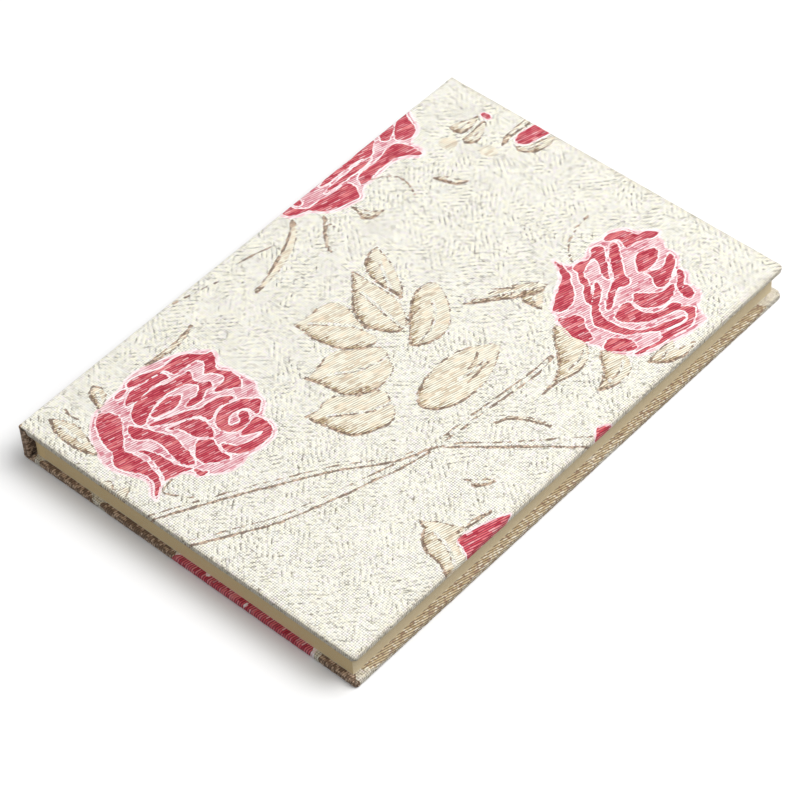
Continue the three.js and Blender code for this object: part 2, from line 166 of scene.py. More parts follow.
# The woven figures of the cover cloth: roses with leaves, buds and long stems, all in the flat of
# the cloth before it goes round the boards. Millimetres on the front cover, x from the spine to the
# fore edge and y from tail to head. A point given twice is a sharp tip.
RED_PETALS = [
    # the rose near the tail
    [(-47.4, -43.7), (-47.4, -43.7), (-45.6, -44.4), (-43.5, -46), (-41.5, -48.2), (-39.5, -47.6),
     (-37, -46.2), (-34, -46), (-31.3, -46.8), (-29.6, -48.8), (-31.4, -51), (-33.4, -54.2), (-34.5, -56),
     (-34.5, -56), (-35.2, -53), (-35.4, -49.8), (-37.5, -48.8), (-40.5, -49.8), (-42.6, -52), (-42.6, -52),
     (-44.2, -50), (-46, -48.5), (-48, -48.6), (-49.3, -50.5), (-49.6, -55), (-50.2, -58.4), (-53.8, -59.2),
     (-54.4, -62), (-55.4, -66), (-56.5, -70.5), (-57.5, -72.4), (-59, -71.3), (-58.6, -67), (-57, -63.5),
     (-55.2, -59.5), (-54.9, -54), (-53.4, -50), (-50.8, -47.7), (-48.6, -46)],
    [(-47.4, -55), (-46.4, -54.6), (-44.8, -55.7), (-42.7, -56.8), (-40.4, -55.2), (-38.6, -53.4),
     (-36.6, -55), (-37.1, -57), (-35.6, -60.4), (-35.6, -63), (-36.8, -66), (-37.8, -65), (-37.6, -61.6),
     (-38.6, -58.6), (-40.4, -56.9), (-42.7, -58), (-44.8, -60.4), (-45.5, -63.9), (-46.2, -66.5),
     (-45.9, -70.4), (-44.8, -75.1), (-43.6, -78), (-42.4, -79.9), (-42.9, -81.7), (-45.9, -81.6),
     (-48.3, -80.4), (-50.4, -76.9), (-50.7, -73.4), (-50.9, -70.6), (-50.4, -66.9), (-48.9, -62.8),
     (-48, -58.6)],
    [(-42.1, -64), (-42.1, -64), (-40.4, -66.3), (-39.8, -69.2), (-40.4, -72.8), (-41.5, -75.7),
     (-42.7, -76.5), (-43.9, -73.9), (-44.5, -70.4), (-44.3, -67.5), (-43.3, -65.7)],
    [(-53.3, -61.2), (-50.6, -61), (-51.2, -63.5), (-51.8, -66.3), (-51.8, -70.4), (-51.5, -73.9),
     (-52.3, -78.6), (-54.2, -76.9), (-55.4, -73.9), (-55.4, -70.4), (-54.5, -66.9), (-53.9, -63.4)],
    [(-57.4, -73.7), (-56.5, -76.5), (-57.1, -78.8), (-58.3, -77.5), (-58.3, -75)],
    [(-30.1, -54.8), (-27.7, -53.4), (-28, -56.3), (-28.9, -59.8), (-27.4, -64.2), (-27.7, -65.5),
     (-30.1, -65.7), (-31.8, -67.2), (-33, -69.2), (-34.8, -72.8), (-37.1, -76.3), (-40.7, -80),
     (-40.7, -80), (-40.4, -78), (-38.3, -73.9), (-36.5, -69.8), (-34.8, -66.9), (-33, -64.3),
     (-32.4, -60.4), (-31.8, -57.5)],
    [(-20.9, -48.8), (-19.5, -49.5), (-18, -51.6), (-17.2, -53.8), (-19.5, -53.6), (-21.8, -54.2),
     (-23, -56.3), (-23.5, -59.2), (-22.4, -62.2), (-20.6, -63.1), (-19.2, -61.6), (-18.9, -59.2),
     (-21, -58.4), (-21.6, -56.4), (-20.4, -55.2), (-18.3, -56.3), (-16.8, -58.6), (-16.4, -61.6),
     (-18, -64.5), (-20.6, -66), (-23.6, -65.7), (-25.9, -63.9), (-27.1, -61.6), (-27.4, -58.6),
     (-26.5, -55.1), (-24.8, -52.2), (-22.4, -49.8)],
    [(-15.9, -54.8), (-13, -54.2), (-10.1, -54.8), (-7.7, -56.9), (-7.1, -60.4), (-7.4, -64.5),
     (-8.6, -68.1), (-10.6, -70.1), (-13, -71.6), (-15.9, -71.3), (-16.8, -70.1), (-14.2, -69.2),
     (-11.8, -66.9), (-10.4, -63.9), (-9.8, -59.8), (-10.4, -57.5), (-11.2, -58.6), (-13, -61.6),
     (-14.2, -63.4), (-15.4, -63.4), (-15.6, -59.8), (-16.2, -56.9)],
    [(-31.2, -68.9), (-30.1, -67.8), (-27.7, -67.3), (-24.2, -67.7), (-21.8, -69.2), (-21.5, -70.3),
     (-23.6, -72.2), (-25.4, -73.6), (-28.3, -73.9), (-31.2, -74.2), (-33, -75.7), (-35, -77.2),
     (-35, -77.2), (-33.6, -73.4), (-32.4, -70.4)],
    [(-23.7, -74), (-22.4, -72.8), (-20.6, -71.2), (-17.7, -72.2), (-14.2, -73.1), (-11, -73),
     (-11.8, -75.1), (-13.9, -78.1), (-16.2, -79.9), (-19.2, -79.5), (-21.8, -77.5), (-23.4, -75.3)],
    [(-12.1, -82), (-13, -84.5), (-15.9, -84), (-15.4, -83), (-13.6, -82.8)],
    [(-45.6, -84.2), (-45.6, -84.2), (-43.6, -83.4), (-40.1, -81.6), (-37.7, -81), (-35.4, -79.8),
     (-30.9, -78.5), (-26.5, -79.2), (-21.8, -80.1), (-17.5, -82.2), (-17.5, -82.2), (-19.5, -83.9),
     (-22.4, -84.8), (-26.5, -83.9), (-30.1, -83.1), (-33.6, -83.1), (-36.5, -83.9), (-38.9, -86.3),
     (-41.2, -87.2), (-43.6, -86)],
    [(-35.6, -90), (-35.6, -90), (-33.6, -88.1), (-30.1, -87.2), (-26.5, -86.6), (-22.4, -86.3),
     (-19.5, -85.4), (-17, -84), (-17, -84), (-18.3, -86.9), (-19.2, -89.8), (-20.1, -93.2), (-20.1, -93.2),
     (-21.8, -91.9), (-24.8, -90.7), (-28.3, -89.8), (-31.8, -89.2)],
    [(-56.8, -86.9), (-55.4, -85.2), (-51.8, -83.5), (-48.9, -84.5), (-46.5, -86.3), (-44.2, -88.6),
     (-41.8, -90.7), (-39.5, -92.8), (-36.5, -92.2), (-31.2, -91.6), (-26.5, -92.5), (-22.4, -93.9),
     (-20.1, -95.7), (-17, -100.2), (-17, -100.2), (-19.5, -98.4), (-21.8, -96.3), (-25.4, -95.4),
     (-28.3, -96), (-31.8, -97.8), (-35.4, -98.9), (-38.3, -98.4), (-41.2, -95.7), (-44.8, -95.1),
     (-48.3, -93.9), (-51.8, -92.2), (-54.8, -90.1)],
    # the rose near the head
    [(31.7, 92.9), (31.7, 92.9), (31.9, 90.1), (30, 86.6), (28.8, 84.1), (28.4, 80.3), (26.3, 81),
     (23.4, 81.7), (21.9, 79.8), (20.3, 78), (19.6, 80.4), (20.3, 82.8), (21.9, 85.4), (25, 86.8),
     (27.4, 87.6), (28.1, 89.8), (30, 91.7)],
    [(24.4, 79.6), (26.6, 77.9), (29.4, 75.4), (32.5, 72.6), (35.6, 69.8), (38.3, 69.3), (39.1, 66.6),
     (37.5, 64.1), (38.8, 61), (40, 58.5), (41.7, 55.6), (41.3, 54), (39.4, 56), (36.9, 60.4), (35, 64.1),
     (34.7, 66), (31.9, 68.5), (28.8, 71.3), (25.6, 74.4), (22.7, 78)],
    [(20.6, 75), (22.8, 74.8), (25, 72.3), (28.1, 69.8), (30.6, 67.3), (32.8, 65.2), (30.6, 65.1),
     (28.1, 66.6), (25, 69.1), (22.7, 69.4), (22.6, 66.6), (23.4, 63.5), (25, 61), (28.1, 59.8),
     (30.6, 57.9), (33.1, 55.4), (35.5, 52.5), (33.1, 52.6), (30.6, 54.8), (28.8, 57.3), (25.6, 58.5),
     (23.1, 61), (20.4, 61.6), (20.2, 64.8), (21.8, 67.9), (20.9, 70.4), (19.5, 72.4)],
    [(31.6, 61.2), (34.1, 59.3), (35.9, 56.3), (38.1, 53.1), (40.6, 51.1), (43.8, 50.2), (48.1, 50.2),
     (52.5, 51.4), (55.6, 53.6), (58.1, 57.3), (59.4, 61), (61.6, 64.8), (63.1, 67.7), (63.5, 65.4),
     (62.5, 62.3), (61.3, 59.1), (60, 57.1), (58.1, 55.2), (56.3, 52.7), (53.8, 49.7), (50, 47.8),
     (45.6, 46.5), (42.5, 46.2), (40, 48), (37.5, 50.8), (35.6, 53.4), (33.8, 56.5), (31.9, 59),
     (30.4, 61.4)],
    [(44.1, 60.2), (45.2, 61.2), (47.5, 60.3), (50, 60.2), (53.1, 61.5), (55, 63.8), (55.8, 66.8),
     (56.2, 70), (58.1, 71.2), (60, 71), (62.5, 73), (65, 70.6), (66.7, 67.3), (66.7, 64.1), (65.9, 61),
     (65, 57.3), (64.4, 53.5), (63.4, 49.8), (62, 45.6), (60.8, 44.2), (60.8, 44.2), (61.9, 48.5),
     (63.1, 52.3), (63.4, 56), (62, 56.4), (63.1, 59.8), (64.4, 63.5), (64.7, 67.3), (63.1, 69.6),
     (60.6, 69.7), (58.8, 67.8), (57.8, 64.8), (56.6, 61.6), (55, 58.4), (52.5, 55.9), (49.4, 53.4),
     (46.3, 52.7), (44.6, 54.8), (44, 57.3)],
    [(35.2, 85.6), (37, 85.8), (38.4, 84), (39.8, 81), (39.8, 77), (38.4, 74.3), (36.2, 76), (33.8, 78.4),
     (33.1, 81.4), (34, 83.8)],
    [(41.2, 87.5), (43.8, 86.3), (45.6, 84.1), (46.9, 81), (48.8, 77.3), (49, 74.3), (47.5, 72.8),
     (45, 74.1), (42.5, 75.4), (40.7, 75.3), (41.9, 77.3), (43.1, 79.8), (42.8, 82.9), (41.7, 85.2)],
    [(48, 83.1), (50, 83.2), (52, 81), (53.6, 78.6), (54.7, 75.6), (52.6, 77), (50.6, 79.6)],
    [(54.4, 79.3), (57, 79.2), (58.8, 77.6), (59.2, 75.3), (56.8, 75), (54.8, 76.5)],
    [(50.6, 76.8), (52.2, 75.7), (53.8, 72.9), (54.2, 69.8), (53.8, 66.6), (51.9, 64.1), (49.4, 62.3),
     (46.3, 62.2), (45, 63.5), (44, 65.5), (46.9, 67.9), (48.8, 69.8), (50.2, 71.8), (50.4, 74.3)],
    [(13, 59.8), (13, 59.8), (16.3, 59.9), (19.4, 59.1), (21.9, 57.9), (23.4, 56), (26.3, 54.2),
     (28.1, 52.3), (30, 49.8), (30.7, 46.6), (30, 44.1), (28.5, 42.1), (26.9, 43.4), (25, 46.6),
     (23.4, 49.8), (21.9, 52.9), (20, 56), (16.9, 58.2)],
    [(31.6, 40.8), (33.8, 42.9), (35, 45.4), (37.5, 45.8), (39.4, 44.2), (41.3, 42.9), (44.1, 42),
     (46.1, 40.6), (45, 38.5), (41.3, 37.3), (38.1, 38), (35, 38.6), (32.5, 39.6)],
    [(50.2, 44.1), (51.3, 45.6), (53.8, 47.3), (56.3, 48.3), (58.8, 47.6), (59.5, 46), (58.1, 43.3),
     (55.6, 41.4), (53.1, 40), (51.4, 40.2), (50.6, 42.3)],
    # the rose that goes round the spine
    [(-78, 84), (-74, 82.2), (-71, 80.6), (-67.6, 79.4), (-65.2, 77.6), (-64.5, 75), (-65.2, 72.4),
     (-67.6, 70.4), (-69.8, 72.4), (-72, 75.4), (-74.5, 78.6), (-78, 80.5)],
    [(-80, 78.5), (-75.5, 76.5), (-72.4, 74), (-70.6, 71), (-69.4, 68.6), (-71, 66.9), (-74, 68.4),
     (-79, 72)],
    [(-55.7, 70.7), (-55.7, 70.7), (-59.7, 71.1), (-63.3, 70.4), (-66.1, 68.5), (-66.9, 65.3),
     (-66.1, 62.4), (-65.4, 57.4), (-65.6, 53.9), (-65.4, 49.6), (-64, 47), (-61.4, 46.7), (-61.5, 50.3),
     (-62.2, 54.6), (-62.2, 60.3), (-61.1, 64.6), (-58.6, 67.4), (-56.3, 69.4)],
    [(-77, 66.5), (-73.5, 65), (-71, 61.8), (-69.2, 58.6), (-70.8, 54.4), (-71.4, 48), (-71.4, 41),
     (-72.2, 36), (-73.3, 40), (-73.2, 48), (-73, 54), (-75.4, 58), (-78, 61)],
    [(-68.4, 58), (-67.4, 54.5), (-67.6, 48), (-67.8, 42), (-68.5, 35), (-69.4, 38), (-69.3, 46),
     (-69.3, 53)],
    [(-65.9, 43.2), (-62.6, 43.5), (-58.5, 41), (-59.4, 37.4), (-60.4, 33.1), (-61.9, 29.6), (-64.7, 27),
     (-67.6, 26), (-67.5, 31.7), (-66.9, 36), (-66.2, 40.3)],
    [(-67.4, 26.6), (-67.4, 26.6), (-68.6, 22.6), (-70.4, 19.2), (-73.4, 18.5), (-76, 19.6), (-74.4, 22),
     (-71.6, 22.6), (-69.4, 24)],
    [(-74, 26.6), (-72, 26.4), (-71.6, 24.6), (-73.6, 24.2)],
    [(-80, 58), (-76.5, 55), (-75.6, 46), (-76.4, 37), (-79.4, 32), (-82.5, 36), (-82, 44), (-83.4, 52)],
    [(-84.5, 70), (-80.6, 67), (-80.4, 62.4), (-83.6, 59), (-86.4, 62.5), (-87.8, 67)],
    [(-78.6, 29), (-76.6, 25.4), (-79.6, 21.6), (-84.8, 24.4), (-86.6, 30), (-83.4, 31.6)],
    # buds at the head and what shows of one at the fore edge
    [(-52.8, 99.4), (-50.8, 100.4), (-48.9, 99.4), (-49.8, 98.2), (-51.8, 98.4)],
    [(-33.6, 108.5), (-30, 109.5), (-28, 107), (-29.2, 102.5), (-30.2, 98.6), (-32, 96.3), (-34.6, 96.5),
     (-35.7, 99.5), (-35, 104)],
    [(72, 11.6), (72, 11.6), (73.4, 14.6), (76, 16.2), (77, 9.5), (74.4, 8)],
    [(73.6, -33.4), (73.6, -33.4), (70.6, -40), (68.6, -47), (67.7, -51.8), (70.6, -52.7), (75.5, -54.6),
     (79, -50), (78, -40)],
]
# Each rose as a whole: what its red petals leave open is pale pink.
ROSES = [
    [(-47.4, -43), (-44.5, -43.8), (-41.5, -46.6), (-38, -45.2), (-34, -44.9), (-30, -44.6), (-26.5, -44.6),
     (-23.8, -46.8), (-20.6, -47.6), (-18.4, -48.6), (-16.2, -51.6), (-14.6, -53.6), (-11, -53.2),
     (-7.6, -54.8), (-5.9, -58.5), (-6.1, -64), (-7, -68.5), (-6.2, -72), (-6.6, -75.8), (-8.8, -79.8),
     (-11.6, -82.6), (-13, -85.2), (-15.6, -85.6), (-18.4, -87.8), (-19.4, -91), (-19.8, -94.8),
     (-16.4, -101), (-16.4, -101), (-19.8, -100.2), (-23, -97.4), (-26, -97.4), (-29.6, -98.6),
     (-34.6, -100.6), (-39.6, -100.9), (-44.6, -99.2), (-49.6, -96.8), (-53.6, -93.8), (-56.4, -90.4),
     (-58.2, -86.9), (-58.4, -82.5), (-58.8, -78.8), (-59.2, -74.2), (-60.4, -70.6), (-60.6, -66),
     (-59.4, -61), (-57.6, -56.6), (-55.6, -52), (-53.6, -48.8), (-50.6, -45.6)],
    [(31.7, 93.6), (29.4, 92), (26.8, 88.9), (22.6, 87.2), (19.6, 84.2), (18.8, 80.6), (19.4, 77.6),
     (18.2, 74.6), (18.8, 70.6), (20.2, 67.6), (19.2, 64.2), (18.4, 61.2), (12.2, 59.9), (12.2, 59.9),
     (16.4, 58), (19.4, 55.4), (21.2, 52.4), (23, 48.6), (25.2, 44.6), (27.6, 41.6), (30.2, 41.2),
     (31.8, 39), (35.4, 37.4), (40, 36.4), (45.4, 37.2), (49.4, 39.6), (53.4, 38.8), (57.4, 41),
     (60.2, 43.2), (62.6, 45), (64.4, 49), (65.8, 53.6), (67.4, 58.6), (68.8, 63.6), (69.2, 70.8),
     (66.6, 72.4), (63, 74.4), (61.8, 78), (59.4, 80.2), (55, 80.6), (51.2, 84.2), (47.4, 84.4),
     (44.6, 87.6), (41.2, 88.8), (38.6, 88.2), (36, 90.2), (33.4, 91)],
    [(-55, 71.2), (-55, 71.2), (-58, 72.6), (-62, 72.2), (-63.4, 74.4), (-64, 77.4), (-66.6, 80.4),
     (-70.6, 82), (-74, 84), (-78, 85.4), (-82, 83), (-85.4, 78.6), (-88.6, 73), (-89.6, 66), (-87.6, 58.6),
     (-85.4, 50), (-84.6, 42), (-86.4, 35), (-87.6, 28.6), (-84.6, 22.6), (-79.4, 19.4), (-76, 17.8),
     (-71.4, 17.6), (-68.2, 20.6), (-66.4, 25), (-62, 28.2), (-59.4, 32.2), (-57.6, 38), (-57.2, 41.6),
     (-60.4, 45.4), (-60.4, 52), (-61, 60), (-59, 65.4), (-56, 68.2)],
]
# Leaves as outline and midrib. The ribs stay the colour of the ground.
LEAVES = [
    ([(-37.5, 27), (-37.5, 27), (-34, 26), (-29, 24.4), (-24, 22), (-19, 18.8), (-15, 14.6), (-15, 14.6),
      (-19.5, 15), (-24, 14.8), (-29, 15.2), (-33.5, 17.2), (-36.4, 20.6), (-37.4, 24)],
     [(-32, 22.6), (-26, 18.4), (-20, 15.2)]),
    ([(-36.2, 13.2), (-36.2, 13.2), (-30, 13.4), (-23, 13.4), (-16.5, 13), (-11, 10.8), (-6.5, 7.2),
      (-5.6, 4), (-7, 1.4), (-10.5, -0.8), (-15, -2.3), (-20, -1.6), (-24.6, 1), (-29.5, 6), (-33, 9.8)],
     [(-27.5, 8), (-18, 6.6), (-5.4, 4.6)]),
    ([(-12.6, 25.6), (-10, 27), (-5.6, 25.2), (-0.6, 22), (4, 17.4), (6.2, 12.4), (6, 7), (3.6, 2.4),
      (1.4, 0.6), (1.4, 0.6), (-2.4, 4.4), (-6.2, 9), (-10.2, 13.6), (-12.8, 18.6), (-13.3, 23)],
     [(-6.6, 20.6), (-2, 16.6), (1.6, 10.6), (2.8, 4)]),
    ([(-34.6, -17.4), (-34.6, -17.4), (-33.6, -10), (-33.4, -4.6), (-30.6, -1), (-25, -0.6), (-19, -2.6),
      (-13, -3.8), (-8.8, -4.6), (-8.6, -7.6), (-10.4, -11.2), (-14.6, -14.8), (-19.4, -16.6), (-25, -17.7),
      (-30, -17.4)], [(-31, -13.8), (-24, -8.4), (-17, -4.4), (-9, -3.2)]),
    ([(-15.2, -32.6), (-15.2, -32.6), (-15.4, -27), (-16.4, -22), (-15.8, -17), (-12.4, -13.6), (-9, -9.4),
      (-4.6, -6.4), (0, -8.6), (4, -11), (5.6, -16.6), (5.4, -22), (3, -26), (-0.8, -29.6), (-5.4, -30.4),
      (-10.4, -31.2)], [(-10.6, -26.4), (-5, -19.6), (-1.8, -12), (-1.4, -6)]),
    ([(-3.8, -44.8), (-3.8, -44.8), (-3, -40), (-3.6, -34.6), (-0.4, -30), (3.6, -26.6), (6.2, -21.6),
      (9.6, -20.4), (13, -22.4), (16.4, -24.2), (19, -28.6), (17.4, -34.2), (15.4, -38.2), (12.2, -41.4),
      (7, -42.8), (1.6, -43.9)], [(1.4, -39.8), (6.6, -34), (11, -28.6), (13.6, -22)]),
    ([(24.4, 19.4), (24.4, 19.4), (26.6, 15.4), (29, 10.6), (30.8, 4.6), (31.3, -2), (30.4, -8.4),
      (28, -13.6), (24.6, -16.7), (21, -17.3), (17.4, -13.6), (15, -7.4), (14.2, -0.6), (15, 6.4),
      (17.4, 12.4), (20.8, 17)], [(24.6, 11), (24.8, 5), (24, -1)]),
    ([(18.6, 50), (18.6, 50), (15, 48.4), (11, 44), (8, 38.6), (5, 31.4), (2.6, 25.6), (2.6, 25.6), (6, 29),
      (9.6, 33.6), (13, 37.6), (16, 41.6), (18.4, 45.6)], [(16.4, 46), (11, 39), (6, 31.4)]),
    ([(18.4, 49), (18.4, 49), (20.4, 45.6), (24.4, 40.4), (24.4, 40.4), (20, 39.6), (16, 39.8), (15, 43)],
     [(17.4, 46), (19.6, 42)]),
    ([(33, 37.8), (38, 39.4), (44, 38.4), (48.4, 35.6), (50.8, 31.6), (51.4, 27), (50.4, 22.6), (49.2, 17),
      (49, 11.6), (49, 11.6), (48, 19), (45, 24.6), (41, 28.6), (37, 32), (34.2, 35)],
     [(46.8, 35.4), (48.6, 31), (48.6, 25.4)]),
    ([(51.6, 38.2), (55, 40.6), (60, 41.6), (63.6, 39), (65, 35), (64.4, 30), (62.8, 26), (61.4, 24.4),
      (61.4, 24.4), (60.2, 28.6), (58, 32), (55, 34.6)], [(60, 39.4), (62, 35), (62, 30)]),
    ([(66.4, 58), (66.4, 58), (70, 54), (72.6, 61), (73.6, 54), (71, 48), (66.6, 44.4), (66.6, 44.4),
      (65.8, 50)], [(68, 53), (69, 49)]),
    ([(-67.6, -98.5), (-67.6, -98.5), (-63, -96), (-57, -95), (-51, -97), (-44.4, -99.2), (-44.4, -99.2),
      (-50, -101.6), (-56, -102), (-62, -101.4)], [(-63, -98.6), (-52, -98.6)]),
    ([(-67.2, -79.6), (-67.2, -79.6), (-63.5, -78.2), (-60, -80.6), (-57.4, -86), (-57.4, -86),
      (-61.5, -84.2), (-65, -82.8)], [(-64, -80.6), (-60, -83)]),
    ([(-57.2, 36), (-57.2, 36), (-53.5, 37), (-50, 38.8), (-47.4, 41.6), (-47.4, 41.6), (-48, 37),
      (-50, 34.2), (-53, 35.2)], [(-52, 36.4), (-49.6, 37.4)]),
    ([(-44.8, 64.4), (-44.8, 64.4), (-41.6, 67.4), (-37.6, 69), (-34.4, 70.8), (-34.4, 70.8), (-36.4, 67.2),
      (-40.4, 65.2)], [(-41, 66.4), (-37.6, 68)]),
    ([(-53.2, 97), (-54.8, 93), (-57.2, 88.8), (-56, 86.6), (-52.4, 87), (-51.3, 91), (-52, 95)],
     [(-53.4, 94), (-54, 89)]),
    ([(-49.8, 96.6), (-47.4, 95), (-45.4, 90), (-45.5, 86), (-48.8, 84.9), (-49.4, 90)],
     [(-47.6, 92), (-47.2, 88)]),
    ([(-36.6, 91.4), (-36.6, 91.4), (-38.4, 95), (-39.1, 100), (-38.7, 106), (-38, 111), (-36.4, 111),
      (-36.8, 104), (-37, 98)], [(-37.6, 97), (-37.4, 105)]),
    ([(-32.5, 94), (-29.4, 93.5), (-26, 96.4), (-24.2, 101), (-25.2, 106.4), (-27.4, 103), (-28.6, 99),
      (-30, 96)], [(-28.6, 96), (-26.6, 101)]),
    ([(53.6, -53.6), (53.6, -53.6), (58, -50.5), (62.6, -48.6), (66.4, -47), (67.6, -52.4), (72, -54.8),
      (76, -56.4), (78, -62), (75, -64.8), (70, -62.6), (63.6, -61.6), (59, -58.8), (57, -55.6)],
     [(60, -54), (67, -56), (74, -60)]),
    ([(53.2, -31.8), (53.2, -31.8), (56, -30), (58.6, -27.2), (61.4, -26.2), (61.4, -26.2), (59.6, -29.4),
      (57.4, -32), (55.4, -30.8)], [(56.6, -30.4), (59, -28.2)]),
    ([(-36, -109), (-33.5, -104.5), (-30, -106.4), (-27, -102.6), (-25.4, -109)],
     [(-31, -108.4), (-29, -106)]),
]
# Darker leaves, partly woven dark and partly painted shade: along the back cover's tail, at the tail of
# the spine and on the cloth turned in at the back cover's fore edge, where these edges lie in shade
DARK_AND_SHADED_LEAVES = [
    [(-160, -108), (-152, -104.6), (-140, -104.2), (-130, -106.4), (-125, -109.6), (-131, -113.4),
     (-146, -114), (-156, -112)],
    [(-123, -107), (-114, -104.4), (-104, -104.6), (-97, -107.4), (-99, -111.6), (-108, -114),
     (-118, -112.4)],
    [(-95, -105.8), (-86, -105.2), (-76, -105.4), (-72.6, -107), (-73, -114), (-82, -116), (-93, -114)],
    [(-222, -107), (-228, -104.8), (-238, -105), (-246, -108), (-246, -114), (-232, -115), (-223, -112)],
    [(-242, 98), (-237.4, 92), (-236.6, 60), (-237.4, 24), (-242, 10), (-250, 16), (-256, 40), (-254, 80)],
    [(-241, 12), (-237, 2), (-236.6, -28), (-238, -50), (-246, -54), (-254, -30)],
    [(-240, -50), (-236.8, -60), (-237, -84), (-241, -101), (-250, -96), (-254, -70)],
]
# Petals of the rose that goes over the back cover's tail edge, where red is all that shows of it, laid
# solid: partly the rose's own red and partly painted shade on that shaded edge
SHADED_TAIL_PETALS = [
    [(-158.4, -106.4), (-164, -105), (-171.6, -105.2), (-172.6, -108.6), (-170.8, -112), (-163, -112.4),
     (-159, -109.6)],
    [(-173.1, -105.2), (-180, -104.8), (-188.4, -105.4), (-189.6, -108.8), (-187.6, -112.2), (-180, -112.6),
     (-174.2, -110)],
    [(-190.1, -105), (-197, -104.6), (-204.6, -105.4), (-206, -109), (-203.4, -112.4), (-197, -112.8),
     (-191, -110)],
    [(-206.5, -105.2), (-213, -105), (-217.4, -107.4), (-216.6, -111), (-210, -112.6), (-206.6, -109.4)],
]
# Stems as a middle line and the half widths along it. They are drawn by their brown edges only.
STEMS = [
    ([(40.6, 26.4), (41, 18), (39.8, 6), (38.2, -8), (37, -21)], (0.5, 1.0, 1.0, 1.0, 1.1)),
    ([(37, -21), (36, -30), (33.4, -40.3), (29.8, -51), (26.4, -61.8), (22.6, -72), (18.8, -81.8),
      (12, -93.4), (2.4, -109)], (1.1, 1.0, 1.25, 1.25, 1.25, 1.2, 1.2, 1.15, 1.1)),
    ([(36, -28), (31.5, -38), (25.6, -46), (18.5, -54.4), (10, -67.6), (3, -78.8), (-4.6, -92),
      (-14.6, -110)], (0.5, 0.95, 1, 1.05, 1.05, 1.05, 1.0, 1.0)),
    ([(38.6, -25.7), (44, -20.6), (50.8, -15), (57, -9.4), (63, -4), (69, 1.4), (77, 8.6)],
     (0.5, 0.9, 1.0, 1.1, 1.5, 2.0, 2.2)),
]
# Narrow leaves, written in the same way
BLADES = [
    ([(45.2, -7.4), (47, -3.2), (50.6, -0.4), (55, 1.6), (59.6, 2.8)], (0.3, 0.6, 0.65, 0.6, 0.3)),
    ([(-68.6, 18.4), (-64, 13.6), (-60.4, 7.6), (-57.6, 0), (-55.8, -7.4), (-54.8, -14.4)],
     (0.4, 1.1, 1.6, 1.5, 1.0, 0.3)),
    ([(-61.4, 27), (-58, 23.4), (-54, 19.6), (-51, 17), (-48, 15.6)], (0.3, 0.5, 0.5, 0.5, 0.3)),
    ([(-60.9, -39.4), (-59.3, -46), (-59, -53), (-60, -62)], (0.3, 0.8, 0.9, 0.3)),
    ([(68.2, -36.4), (66.6, -43), (65.6, -50)], (0.3, 0.6, 0.4)),
]
# Single rows of brown thread
BROWN_LINES = [
    [(-60.6, 50), (-58, 54.6), (-54, 56.8), (-49, 56.4), (-44.4, 54)],
    [(-59.2, 25), (-54.8, 24.8)],
    [(-65.4, 4.4), (-67.4, -2), (-68.6, -8.4)],
    [(-68.4, -19.6), (-70.4, -27), (-73, -37)],
    [(-18.9, -91.4), (-17.6, -96.9), (-13.4, -95.6), (-8.6, -92.6)],
    [(8.5, 84.4), (8.8, 78), (10.8, 71.4), (14, 66.6), (18.6, 63.2)],
    [(-49.7, 96.4), (-49.3, 90.5), (-49.1, 85.3)],
    [(12.4, 42.8), (9, 40), (5.4, 36.6)],
    [(26, 11.4), (26.6, 5), (26.8, 0)],
    [(20.6, 12), (22.4, 8.6), (23.2, 4.6)],
    [(-67, -92.6), (-63, -93.4), (-60.6, -92.8)],
]
# Two small, faint leaves near the head that have no brown edge
FAINT_LEAVES = [
    [(-55.6, 79.4), (-54.6, 82.4), (-51.4, 83.6), (-49.2, 82), (-49.6, 78.6), (-52, 77.2)],
    [(-42, 85.4), (-40.6, 88.6), (-37, 89), (-35.2, 87), (-36.6, 84.4), (-39.6, 83.8)],
]
# One repeat of the weave, and how the next one to the left stands against it
REPEAT_LEFT = 160
REPEAT_DOWN = 33
REPEAT_HIGH = 220
# No rose is woven past this line, at the back cover's fore edge
LAST_ROSE_X = -236.5
# The kinds of figure, how wide their brown edges and midribs are, and how deep their shadows lie
FIGURES = ("red", "rose", "leaf", "brown", "under")
FAR_AWAY = 5.0
FIGURE_REACH = 4.0
BROWN_EDGE = (0.2, 0.5)
BROWN_LINE_HALF = 0.34
MIDRIB_HALF = 0.6
MIDRIB_SHADE_HALF = 0.25
MIDRIB_SHADE_DROP = 0.7
LOW_SIDE = (0.8, 0.35)
LIT_SIDE_DEPTH = 8
# The darker, partly painted-shade leaves: how deep their shadow floats lie, how far in their brown goes, and
# below which y they are brown
SHADED_LEAF_DEPTH = -1
SHADED_BROWN_INSET = 0.3
SHADED_TAIL_LEAVES_BELOW = -100
TINY = 1e-9


def smooth_line(points, closed, steps=5):
    """A smooth line through points, as rows of x and y. It keeps its corner at a doubled point."""
    given = np.array(points, float)
    count = len(given)
    rows = []
    for i in range(count if closed else count - 1):
        around = [i + k for k in (-1, 0, 1, 2)]
        around = [at % count if closed else min(max(at, 0), count - 1) for at in around]
        a, b, c, d = (given[at] for at in around)
        if (b == c).all():
            continue
        for t in np.arange(steps) / steps:
            rows.append(0.5 * (2 * b + (c - a) * t + (2 * a - 5 * b + 4 * c - d) * t * t
                               + (3 * b - a - 3 * c + d) * t ** 3))
    if not closed:
        rows.append(given[-1])
    return np.array(rows)


def stem_outline(middle, half_widths):
    """The closed outline of a stem that swells and thins along its middle line."""
    line = smooth_line(middle, closed=False)
    along = np.gradient(line, axis=0)
    along /= np.linalg.norm(along, axis=1)[:, None]
    across = np.stack([-along[:, 1], along[:, 0]], 1)
    given_at = np.linspace(0, 1, len(half_widths))
    wide = np.interp(np.linspace(0, 1, len(line)), given_at, half_widths)[:, None]
    return np.concatenate([line + across * wide, (line - across * wide)[::-1]])


